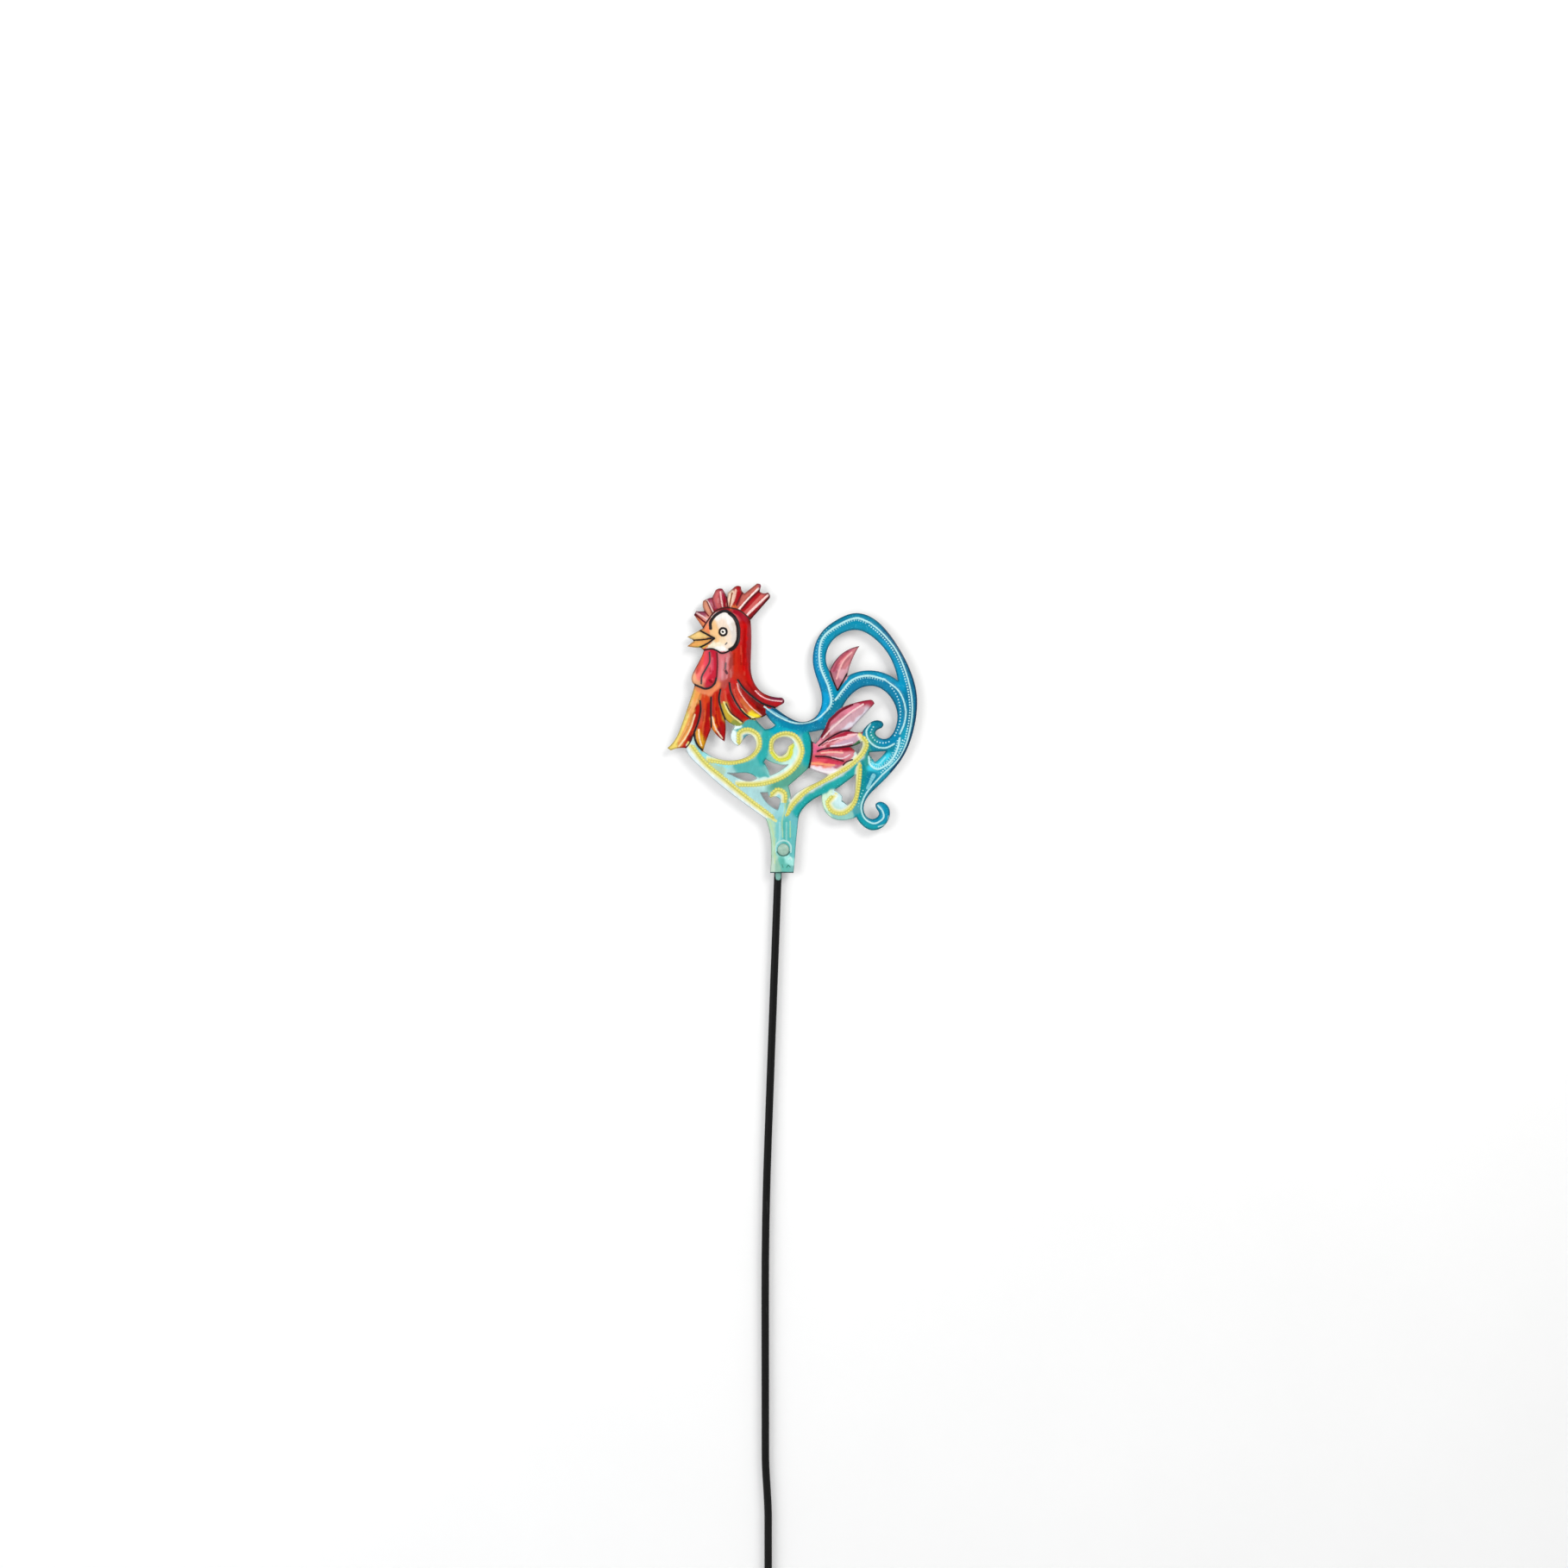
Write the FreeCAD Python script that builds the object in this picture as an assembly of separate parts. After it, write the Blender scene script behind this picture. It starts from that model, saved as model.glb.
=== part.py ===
import FreeCAD, Part

import math
import os

# A rooster garden stake: one cut and hammered sheet-steel rooster, hung by a
# single rivet on a pointed round rod that is pushed into the ground.
# Millimetres.  +Z is up, the rooster's painted face looks along -Y and the
# origin is on the axis of the rod's straight lower run, at ground level.

# ---- driving dimensions ----
ROD_R = 3.175                  # 1/4 in round bar
BURIED = 120.0                 # length of rod below ground level, with its point
POINT_LENGTH = 12.0
POINT_TIP_R = 0.6

SHEET = 1.2                    # thickness of the sheet steel
SHEET_BACK = -2.2              # y of the sheet's back face
SHEET_FRONT = SHEET_BACK - SHEET

TAB_X = 8.2                    # the tab's bottom edge, where the rod passes it
TAB_Z = 553.5

RIVET_X = 4.5                  # rivet, measured from that point of the tab
RIVET_Z = 19.5
HOLE_R = 2.05
SHANK_R = 2.0
HEAD_R = 5.15
HEAD_HEIGHT = 2.2
TAIL_R = 3.5
TAIL_HEIGHT = 1.8
WASHER_R = 5.0
WASHER_THICKNESS = 1.0

PADDLE_WIDTH = 10.5            # the rod's hammered-flat upper end
PADDLE_THICKNESS = 3.0
FLATTENING_LENGTH = 9.0
FIT = 0.05                     # clearance between the rod and the sheet's channel

CHANNEL_WALL = 1.2             # the small channel pressed over the rod
CHANNEL_STRAIGHT = 4.0
CHANNEL_TAPER = 10.0
CHANNEL_LEAN = 6.0             # degrees, as the rod leans there

RIDGE_R = 1.15                 # round ridges hammered up from the back
RIDGE_CENTRE = SHEET_FRONT + 0.35

CUTTER = 40.0                  # cutting blocks and drills reach well past what they cut
OVERLAP = 1.0                  # how far pieces of one solid run into each other
TOUCHING = 1e-6                # outline points closer than this are the same

# The rod's centre line as (x, z) corners, each eased by a bend radius.
ROD_START_Z = POINT_LENGTH - BURIED
ROD_CORNERS = [
    ((0.0, ROD_START_Z), 0.0),
    ((0.0, 21.0), 300.0),
    ((-2.3, 60.0), 300.0),
    ((-2.6, 262.0), 3500.0),
    ((8.35, 557.5), 20.0),
]
NECK_LENGTH = 3.2              # round bar left between the last bend and the flat

# ---- outlines, measured from the tab's bottom edge where the rod passes ----
# Each outline is a start point and the strokes that lead on from it.  A stroke
# of one point is a straight line, a longer one is a smooth curve through its
# points, and the outline turns a corner wherever two strokes meet.
ROOSTER_START = (-6.5, 0.0)
ROOSTER_STROKES = [
    # tab and the lower edge of the long strap
    [(13.0, 0.0)],
    [(14.0, 11.0), (15.0, 25.0), (16.4, 39.0), (18.2, 49.0), (23.5, 56.4), (36.3, 64.8)],
    # small curl, then the hook at the foot of the tail
    [(36.6, 59.5), (39.4, 51.2), (45.8, 45.4), (55.0, 43.9), (65.4, 46.6)],
    [(69.6, 40.5), (78.0, 35.6), (87.0, 37.9), (93.2, 47.0), (92.0, 55.4), (85.5, 59.4), (81.6, 57.6)],
    [(82.5, 53.2), (84.4, 49.6), (80.4, 45.2), (74.0, 47.3), (71.5, 54.0), (74.7, 63.1), (84.3, 73.2),
     (96.0, 85.4), (105.6, 98.8), (111.8, 114.0), (115.6, 132.0), (115.8, 149.5), (110.2, 169.8),
     (99.0, 191.0), (87.8, 205.6), (76.5, 214.2), (64.8, 216.9), (50.0, 211.8), (37.3, 202.0),
     (30.2, 188.0), (29.6, 172.0), (34.4, 156.5), (36.6, 142.5), (31.0, 130.0), (20.0, 126.0),
     (8.7, 130.0), (-2.2, 137.6)],
    # last hackle feather, back of the neck
    [(4.6, 141.5)],
    [(5.4, 143.6), (3.2, 146.3)],
    [(-4.5, 147.1), (-12.6, 150.3), (-18.6, 156.6), (-22.2, 166.0), (-22.6, 180.0), (-22.2, 200.0),
     (-23.0, 211.2)],
    # comb, six points from back to front
    [(-15.6, 219.6), (-7.3, 229.0)],
    [(-6.6, 231.4), (-8.5, 234.2)],
    [(-11.6, 233.4), (-15.0, 234.6)],
    [(-14.9, 236.8), (-14.2, 239.6), (-17.5, 241.6)],
    [(-22.2, 237.9), (-27.9, 233.3)],
    [(-29.8, 235.0), (-30.9, 238.9)],
    [(-33.2, 239.7), (-36.2, 238.8)],
    [(-42.0, 233.7)],
    [(-42.5, 230.5)],
    [(-44.0, 233.4), (-46.4, 237.2)],
    [(-49.4, 237.4), (-52.2, 235.8)],
    [(-55.0, 230.0)],
    [(-57.4, 229.4), (-62.6, 227.0)],
    [(-62.8, 222.5), (-61.5, 218.6)],
    [(-65.0, 218.3), (-68.4, 218.5)],
    [(-70.1, 215.4)],
    [(-62.6, 204.4)],
    # open beak
    [(-69.0, 200.6), (-75.7, 197.0)],
    [(-71.0, 194.5)],
    [(-70.6, 193.2)],
    [(-75.8, 189.2)],
    [(-70.0, 188.2), (-64.8, 188.2)],
    # wattle and the front of the neck
    [(-62.0, 185.8)],
    [(-65.0, 178.3), (-70.3, 168.4), (-72.3, 162.6), (-69.6, 156.8)],
    [(-71.6, 149.8), (-75.4, 138.4), (-80.8, 122.6), (-86.2, 111.0), (-92.4, 104.2)],
    # tip of the first hackle feather
    [(-89.5, 102.2)],
    [(-84.0, 104.0), (-77.4, 104.2)],
    # breast strap down to the tab
    [(-74.6, 98.4), (-66.8, 90.0), (-51.0, 75.6), (-30.0, 59.2), (-10.3, 45.0)],
    [(-7.4, 36.0), (-6.0, 27.0), (-5.7, 14.0), (-6.5, 0.0)],
]

OPENINGS = [
    # between the hackle and the breast scroll
    ((-62.5, 102.0), [
        [(-54.5, 97.0), (-44.0, 94.1), (-30.0, 95.3), (-20.7, 101.0), (-18.6, 108.4), (-23.6, 115.2),
         (-28.0, 112.6), (-33.4, 106.2), (-39.0, 111.2),
         (-38.9, 117.4), (-36.2, 122.2)],
        [(-39.4, 124.4), (-44.0, 128.2)],
        [(-43.6, 119.0), (-44.6, 109.6)],
        [(-50.6, 114.4), (-55.6, 121.0)],
        [(-58.6, 113.6), (-62.5, 102.0)],
    ]),
    # lens in the breast
    ((-42.0, 83.3), [
        [(-31.0, 83.5), (-24.0, 83.0), (-17.9, 78.9)],
        [(-26.6, 76.9), (-35.5, 80.4), (-42.0, 83.3)],
    ]),
    # under the body spiral
    ((-11.8, 92.6), [
        [(-8.8, 87.6), (-6.3, 81.4)],
        [(1.0, 84.9), (8.4, 90.3)],
        [(2.0, 90.2), (-4.4, 91.9), (-10.2, 94.8)],
        [(-11.8, 92.6)],
    ]),
    # eye of the body spiral
    ((13.0, 108.8), [
        [(9.4, 112.4), (3.4, 113.2), (-2.4, 110.0), (-3.2, 103.2), (2.4, 97.8), (6.7, 100.6), (8.3, 105.6)],
        [(13.0, 108.8)],
    ]),
    # triangle beside the little hook
    ((-14.5, 67.0), [
        [(-8.6, 67.1)],
        [(-7.8, 64.4), (-6.2, 62.6)],
        [(-1.6, 63.4), (2.0, 60.9)],
        [(1.2, 57.2), (-0.2, 52.7)],
        [(-5.0, 55.2), (-14.5, 67.0)],
    ]),
    # between the body spiral, the fan and the long strap
    ((25.6, 87.3), [
        [(33.4, 84.2), (41.5, 81.6)],
        [(31.6, 75.2), (20.5, 70.0), (10.8, 61.8)],
        [(10.3, 67.0), (8.8, 72.6)],
        [(16.4, 79.2), (25.6, 87.3)],
    ]),
    # triangle above the root of the fan
    ((26.0, 117.2), [
        [(32.0, 118.3), (38.0, 119.6)],
        [(35.6, 114.6), (31.6, 108.8)],
        [(28.4, 109.6)],
        [(26.0, 117.2)],
    ]),
    # tail hoop, with the small leaf standing in it
    ((43.2, 168.8), [
        [(40.0, 179.5), (43.6, 191.2), (53.6, 200.0), (66.5, 202.7), (80.7, 195.6), (93.3, 180.6),
         (100.0, 160.6)],
        [(90.0, 166.4), (74.0, 169.0), (57.9, 164.3)],
        [(60.9, 175.4), (68.1, 189.5)],
        [(54.7, 184.0), (43.2, 168.8)],
    ]),
    # second hoop, with the tail curl and the top fan feather reaching into it
    ((53.8, 138.2), [
        [(60.5, 148.1), (70.5, 154.9), (82.0, 155.5), (92.3, 148.8), (98.8, 137.0), (98.6, 122.8),
         (88.4, 111.8), (81.5, 116.0), (86.4, 121.0)],
        [(88.1, 123.9), (86.4, 126.6)],
        [(79.8, 126.9), (74.0, 122.8), (70.0, 117.5)],
        [(64.5, 117.5), (59.8, 118.8)],
        [(68.5, 128.0), (80.5, 141.2)],
        [(79.4, 143.6), (77.2, 144.6)],
        [(65.6, 142.4), (53.8, 138.2)],
    ]),
    # at the tip of the third fan feather
    ((60.5, 105.3), [
        [(65.8, 106.8), (70.3, 109.6)],
        [(69.2, 104.0), (66.3, 98.9)],
        [(64.3, 102.6), (60.5, 105.3)],
    ]),
    # triangle under the tail curl
    ((76.4, 100.6), [
        [(90.0, 101.6)],
        [(86.2, 96.8), (81.0, 92.6)],
        [(76.4, 98.6)],
        [(76.4, 100.6)],
    ]),
    # inside the small curl
    ((65.0, 82.2), [
        [(57.4, 76.2), (47.3, 69.0)],
        [(51.4, 66.6), (53.9, 63.8)],
        [(53.6, 60.6)],
        [(58.1, 56.7)],
        [(62.6, 61.8), (64.5, 71.6), (65.0, 82.2)],
    ]),
    # between the hackle tips and the back
    ((-19.0, 128.7), [
        [(-14.2, 129.6), (-9.7, 131.8)],
        [(-6.8, 127.8), (-2.4, 123.4)],
        [(-6.2, 120.8), (-10.8, 120.0)],
        [(-14.9, 124.0), (-19.0, 128.7)],
    ]),
]

# Centre lines of the ridges that stiffen the sheet.
RIDGES = [
    # back and the great tail hoop, down to the hook
    [(-11.4, 138.8), (0.5, 130.4), (16.6, 124.8), (32.0, 128.0), (44.4, 140.6), (42.2, 154.8),
     (35.0, 174.0), (37.0, 195.3), (52.0, 207.6), (66.0, 212.6), (80.6, 205.8), (97.0, 189.5),
     (107.3, 166.0), (111.6, 142.0), (110.2, 121.0), (102.7, 98.0), (85.6, 80.4), (72.2, 63.6),
     (69.6, 53.6), (72.8, 45.0), (80.4, 41.3), (88.0, 46.0), (87.2, 51.6), (83.4, 56.2)],
    # second hoop
    [(48.0, 144.4), (54.4, 152.8), (62.5, 161.2), (75.0, 164.6), (89.0, 161.4), (101.1, 151.2),
     (106.6, 136.0), (105.3, 124.5), (101.8, 116.2)],
    # tail curl
    [(79.2, 124.6), (75.0, 117.4), (78.0, 108.7), (86.0, 104.8), (92.7, 106.2)],
    # hook under the tail curl
    [(75.9, 97.2), (76.8, 90.6), (82.6, 86.7), (90.6, 90.0), (97.3, 98.0), (100.5, 106.0), (101.6, 112.4)],
    # small curl and its stem
    [(45.0, 63.6), (41.2, 58.6), (45.4, 51.2), (54.1, 49.6), (62.2, 55.6), (66.3, 67.0), (68.9, 89.6)],
    # long strap
    [(7.4, 48.4), (12.4, 56.6), (25.0, 69.0), (46.0, 80.6), (62.0, 90.6), (72.2, 101.4), (74.2, 108.4),
     (71.2, 113.4)],
    # breast scroll
    [(-33.0, 108.6), (-32.4, 117.0), (-25.0, 119.8), (-16.6, 115.0), (-15.4, 105.4), (-22.4, 96.6),
     (-38.0, 91.8), (-57.5, 93.6)],
    # breast strap
    [(-71.6, 106.0), (-60.4, 91.8), (-44.0, 78.0), (-25.0, 62.4), (-4.0, 46.4)],
    # body spiral
    [(-33.2, 73.4), (-14.0, 74.0), (4.0, 79.8), (15.4, 89.4), (20.4, 102.5), (14.4, 114.4), (4.0, 116.4),
     (-4.8, 111.2), (-5.9, 101.2), (0.6, 94.6), (8.6, 96.2), (11.6, 104.6)],
    # little hook, its stem and the flutes down the tab
    [(-5.6, 65.4), (-0.4, 69.6), (5.6, 66.8), (6.0, 55.6), (3.6, 44.6), (3.9, 30.0)],
    [(-7.0, 43.0), (-3.9, 32.0), (-2.7, 18.0), (-2.6, 8.0)],
    [(10.2, 43.0), (10.3, 30.0)],
]


def sheet_point(point, y=0.0):
    """Row position of a point given on the panel."""
    return FreeCAD.Vector(point[0] + TAB_X, y, point[1] + TAB_Z)


def smooth_edge(points):
    """A straight edge through two points, or a smooth curve through more."""
    if len(points) == 2:
        return Part.makeLine(points[0], points[1])
    curve = Part.BSplineCurve()
    curve.interpolate(points)
    return curve.toShape()


def outline_wire(start, strokes):
    """Closed wire in the plane of the sheet's back face."""
    edges = []
    at = start
    for stroke in strokes:
        points = [sheet_point(p, SHEET_BACK) for p in [at] + stroke]
        edges.append(smooth_edge(points))
        at = stroke[-1]
    if math.dist(at, start) > TOUCHING:
        edges.append(Part.makeLine(sheet_point(at, SHEET_BACK), sheet_point(start, SHEET_BACK)))
    return Part.Wire(edges)


def ridge(points):
    """A round bar along a centre line, closed by a ball at each end."""
    spots = [sheet_point(p, RIDGE_CENTRE) for p in points]
    spine = Part.Wire([smooth_edge(spots)])
    start = spine.Edges[0]
    heading = start.tangentAt(start.FirstParameter)
    ring = Part.Wire([Part.makeCircle(RIDGE_R, spots[0], heading)])
    bar = spine.makePipeShell([ring], True, False)
    for end in (spots[0], spots[-1]):
        bar = bar.fuse(Part.makeSphere(RIDGE_R, end))
    return bar


def eased_path(corners, finish):
    """Wire through (x, z) corners to a last point, with an arc of the given radius at each bend."""
    spots = [FreeCAD.Vector(x, 0, z) for (x, z), _ in corners] + [finish]
    edges = []
    at = spots[0]
    for i in range(1, len(corners)):
        before = (spots[i] - spots[i - 1]).normalize()
        after = (spots[i + 1] - spots[i]).normalize()
        turn = before.getAngle(after)
        radius = corners[i][1]
        reach = radius * math.tan(turn / 2)
        arc_start = spots[i] - before * reach
        arc_end = spots[i] + after * reach
        inward = (after - before).normalize()
        centre = spots[i] + inward * (radius / math.cos(turn / 2))
        arc_middle = centre - inward * radius
        edges.append(Part.makeLine(at, arc_start))
        edges.append(Part.Arc(arc_start, arc_middle, arc_end).toShape())
        at = arc_end
    edges.append(Part.makeLine(at, spots[-1]))
    return Part.Wire(edges)


def oval(half_width, half_depth, y, z):
    """Level oval wire round the local rod axis."""
    curve = Part.Ellipse(FreeCAD.Vector(0, y, z), half_width, half_depth)
    return Part.Wire([curve.toShape()])


def make_rod(grow=0.0):
    """The rod without its hole, made thicker all round by grow."""
    radius = ROD_R + grow
    (bend_x, bend_z), _ = ROD_CORNERS[-1]
    bend = FreeCAD.Vector(bend_x, 0, bend_z)
    to_rivet = sheet_point((RIVET_X, RIVET_Z)) - bend
    last = bend + to_rivet * (NECK_LENGTH / to_rivet.Length)
    path = eased_path(ROD_CORNERS, last)
    foot = FreeCAD.Vector(0, 0, ROD_START_Z)
    ring = Part.Wire([Part.makeCircle(radius, foot)])
    bar = path.makePipeShell([ring], True, True)
    point = Part.makeCone(POINT_TIP_R, radius, POINT_LENGTH, foot - FreeCAD.Vector(0, 0, POINT_LENGTH))

    # the flattened end, drawn upright at the origin and then leaned over
    flat_y = SHEET_BACK + PADDLE_THICKNESS / 2
    half_width = PADDLE_WIDTH / 2 + grow
    half_depth = PADDLE_THICKNESS / 2 + grow
    lean = math.degrees(math.atan2(to_rivet.x, to_rivet.z))
    reach = to_rivet.Length - NECK_LENGTH
    ring = Part.Wire([Part.makeCircle(radius)])
    swelling = Part.makeLoft([ring, oval(half_width, half_depth, flat_y, FLATTENING_LENGTH)], True)
    blade = Part.makeBox(
        2 * half_width, 2 * half_depth, reach - FLATTENING_LENGTH + OVERLAP,
        FreeCAD.Vector(-half_width, flat_y - half_depth, FLATTENING_LENGTH - OVERLAP))
    round_end = Part.makeCylinder(
        half_width, 2 * half_depth,
        FreeCAD.Vector(0, flat_y - half_depth, reach), FreeCAD.Vector(0, 1, 0))
    flat_end = swelling.fuse([blade, round_end])
    flat_end.rotate(FreeCAD.Vector(0, 0, 0), FreeCAD.Vector(0, 1, 0), lean)
    flat_end.translate(last)
    return bar.fuse([point, flat_end]).removeSplitter().Solids[0]


def tapered_bar(radius, end_radius):
    """Bar along the rod where it passes the tab's edge, tapering off above it."""
    foot = FreeCAD.Vector(TAB_X, 0, TAB_Z)
    straight = Part.makeCylinder(radius, CHANNEL_STRAIGHT, foot)
    taper = Part.makeCone(
        radius, end_radius, CHANNEL_TAPER, foot + FreeCAD.Vector(0, 0, CHANNEL_STRAIGHT))
    bar = straight.fuse(taper)
    bar.rotate(foot, FreeCAD.Vector(0, 1, 0), CHANNEL_LEAN)
    below_edge = Part.makeBox(
        CUTTER, CUTTER, CUTTER, foot - FreeCAD.Vector(CUTTER / 2, CUTTER / 2, CUTTER))
    behind_sheet = Part.makeBox(
        CUTTER, CUTTER, CUTTER, FreeCAD.Vector(TAB_X - CUTTER / 2, SHEET_BACK, TAB_Z - CUTTER / 2))
    return bar.cut([below_edge, behind_sheet])


def rivet_hole():
    """Drill for the rivet, through everything along its axis."""
    start = sheet_point((RIVET_X, RIVET_Z), -CUTTER / 2)
    return Part.makeCylinder(HOLE_R, CUTTER, start, FreeCAD.Vector(0, 1, 0))


def make_panel(rod_space):
    """The sheet with its openings, ridges, channel and rivet hole."""
    wires = [outline_wire(ROOSTER_START, ROOSTER_STROKES)]
    wires += [outline_wire(start, strokes) for start, strokes in OPENINGS]
    face = Part.makeFace(wires, "Part::FaceMakerBullseye")
    sheet = face.extrude(FreeCAD.Vector(0, -SHEET, 0))
    keep = sheet.BoundBox
    behind = Part.makeBox(
        keep.XLength + CUTTER, CUTTER, keep.ZLength + CUTTER,
        FreeCAD.Vector(keep.XMin - CUTTER / 2, SHEET_BACK - SHEET / 2, keep.ZMin - CUTTER / 2))
    channel = tapered_bar(ROD_R + FIT + CHANNEL_WALL, -SHEET_FRONT)
    panel = sheet.fuse(channel).cut(rod_space).cut(rivet_hole())
    for points in RIDGES:
        panel = panel.fuse(ridge(points).cut(behind))
    return panel.Solids[0]


def domed_disc(radius, height):
    """Spherical cap standing on its flat face at the origin, top towards -Y."""
    ball_r = (radius ** 2 + height ** 2) / (2 * height)
    ball = Part.makeSphere(ball_r, FreeCAD.Vector(0, ball_r - height, 0))
    below = Part.makeBox(
        4 * ball_r, 4 * ball_r, 4 * ball_r, FreeCAD.Vector(-2 * ball_r, 0, -2 * ball_r))
    return ball.cut(below)


def make_rivet(tail_y):
    """Round-head rivet, peened over behind the washer."""
    head = domed_disc(HEAD_R, HEAD_HEIGHT)
    head.translate(FreeCAD.Vector(0, SHEET_FRONT, 0))
    tail = domed_disc(TAIL_R, TAIL_HEIGHT)
    tail.rotate(FreeCAD.Vector(0, 0, 0), FreeCAD.Vector(0, 0, 1), 180)
    tail.translate(FreeCAD.Vector(0, tail_y, 0))
    inset = 0.2
    shank = Part.makeCylinder(
        SHANK_R, tail_y - SHEET_FRONT + 2 * inset,
        FreeCAD.Vector(0, SHEET_FRONT - inset, 0), FreeCAD.Vector(0, 1, 0))
    rivet = head.fuse([shank, tail]).removeSplitter()
    rivet.translate(sheet_point((RIVET_X, RIVET_Z)))
    return rivet


def make_washer(front_y):
    """Plain washer behind the flattened rod."""
    centre = sheet_point((RIVET_X, RIVET_Z), front_y)
    disc = Part.makeCylinder(WASHER_R, WASHER_THICKNESS, centre, FreeCAD.Vector(0, 1, 0))
    hole = Part.makeCylinder(HOLE_R, WASHER_THICKNESS, centre, FreeCAD.Vector(0, 1, 0))
    return disc.cut(hole)


def main():
    os.makedirs("parts", exist_ok=True)
    washer_y = SHEET_BACK + PADDLE_THICKNESS
    nodes = {
        "rooster_panel": make_panel(make_rod(FIT)),
        "stake_rod": make_rod().cut(rivet_hole()),
        "rivet": make_rivet(washer_y + WASHER_THICKNESS),
        "rivet_washer": make_washer(washer_y),
    }
    for name, shape in nodes.items():
        shape.exportStep("parts/" + name + ".step")


main()
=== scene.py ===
import math

import bpy
import numpy as np
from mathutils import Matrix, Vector, geometry, kdtree, noise


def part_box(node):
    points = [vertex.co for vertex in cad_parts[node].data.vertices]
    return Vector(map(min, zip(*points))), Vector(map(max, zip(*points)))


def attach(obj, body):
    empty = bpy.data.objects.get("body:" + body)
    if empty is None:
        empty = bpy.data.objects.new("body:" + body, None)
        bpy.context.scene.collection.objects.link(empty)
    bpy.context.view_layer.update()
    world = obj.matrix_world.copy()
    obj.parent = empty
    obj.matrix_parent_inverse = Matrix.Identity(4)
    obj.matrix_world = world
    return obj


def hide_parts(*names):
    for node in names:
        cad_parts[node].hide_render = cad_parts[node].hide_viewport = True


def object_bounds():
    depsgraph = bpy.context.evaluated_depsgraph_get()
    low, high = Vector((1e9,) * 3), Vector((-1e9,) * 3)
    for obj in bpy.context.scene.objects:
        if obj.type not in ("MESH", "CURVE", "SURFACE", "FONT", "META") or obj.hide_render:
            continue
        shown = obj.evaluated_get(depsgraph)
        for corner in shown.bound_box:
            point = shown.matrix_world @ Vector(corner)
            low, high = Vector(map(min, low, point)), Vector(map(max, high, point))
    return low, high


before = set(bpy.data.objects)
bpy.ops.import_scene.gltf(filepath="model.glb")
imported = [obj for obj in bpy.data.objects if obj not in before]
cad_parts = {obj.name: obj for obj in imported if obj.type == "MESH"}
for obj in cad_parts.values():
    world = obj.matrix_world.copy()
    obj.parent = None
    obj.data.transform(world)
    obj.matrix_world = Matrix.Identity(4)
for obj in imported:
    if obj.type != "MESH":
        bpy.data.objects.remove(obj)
first_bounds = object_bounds()

# Everything is drawn in panel millimetres: x to the right and z up, seen from
# the front, measured from the tab's bottom edge where the rod passes it.
MM = 0.001
RIVET_X = 4.5
RIVET_Z = 19.5
HEAD_HEIGHT = 2.2
SHEET = 1.2

rivet_low, rivet_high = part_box("rivet")
TAB_X = (rivet_low.x + rivet_high.x) / 2 / MM - RIVET_X
TAB_Z = (rivet_low.z + rivet_high.z) / 2 / MM - RIVET_Z
SHEET_FRONT = rivet_low.y / MM + HEAD_HEIGHT
SHEET_BACK = SHEET_FRONT + SHEET

# ---------------------------------------------------------------- helpers


def linear(red, green, blue):
    """Linear colour from 0..255 display values."""
    out = []
    for value in (red, green, blue):
        c = value / 255
        out.append(c / 12.92 if c <= 0.04045 else ((c + 0.055) / 1.055) ** 2.4)
    return tuple(out)


def smooth(points, step=0.35):
    """Points every step millimetres along a smooth curve through the given ones."""
    pts = np.array(points, float)
    if len(pts) == 2:
        length = np.hypot(*(pts[1] - pts[0]))
        t = np.linspace(0, 1, max(2, int(length / step) + 1))[:, None]
        return pts[0] * (1 - t) + pts[1] * t
    ghost = np.vstack([2 * pts[0] - pts[1], pts, 2 * pts[-1] - pts[-2]])
    out = []
    for i in range(1, len(ghost) - 2):
        p0, p1, p2, p3 = ghost[i - 1:i + 3]
        k0 = max(np.hypot(*(p1 - p0)), 1e-6) ** 0.5
        k1 = max(np.hypot(*(p2 - p1)), 1e-6) ** 0.5
        k2 = max(np.hypot(*(p3 - p2)), 1e-6) ** 0.5
        m1 = k1 * ((p1 - p0) / k0 - (p2 - p0) / (k0 + k1) + (p2 - p1) / k1)
        m2 = k1 * ((p2 - p1) / k1 - (p3 - p1) / (k1 + k2) + (p3 - p2) / k2)
        n = max(2, int(np.hypot(*(p2 - p1)) / step) + 1)
        t = np.linspace(0, 1, n, endpoint=False)[:, None]
        out.append((2 * t ** 3 - 3 * t ** 2 + 1) * p1 + (t ** 3 - 2 * t ** 2 + t) * m1
                   + (-2 * t ** 3 + 3 * t ** 2) * p2 + (t ** 3 - t ** 2) * m2)
    out.append(pts[-1:])
    return np.vstack(out)


def ease(x):
    """Smooth step from 0 to 1 as x goes from 0 to 1."""
    x = np.clip(x, 0, 1)
    return x * x * (3 - 2 * x)


def tree_of(points):
    """Search tree over an array of (x, z) points."""
    tree = kdtree.KDTree(len(points))
    for i, (x, z) in enumerate(points):
        tree.insert((x, z, 0), i)
    tree.balance()
    return tree


def nearest(tree, spots):
    """Distance to the nearest tree point, and its number, for each spot."""
    far = np.empty(len(spots))
    which = np.empty(len(spots), int)
    for i, (x, z) in enumerate(spots):
        _, index, dist = tree.find((x, z, 0))
        far[i] = dist
        which[i] = index
    return far, which


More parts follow.
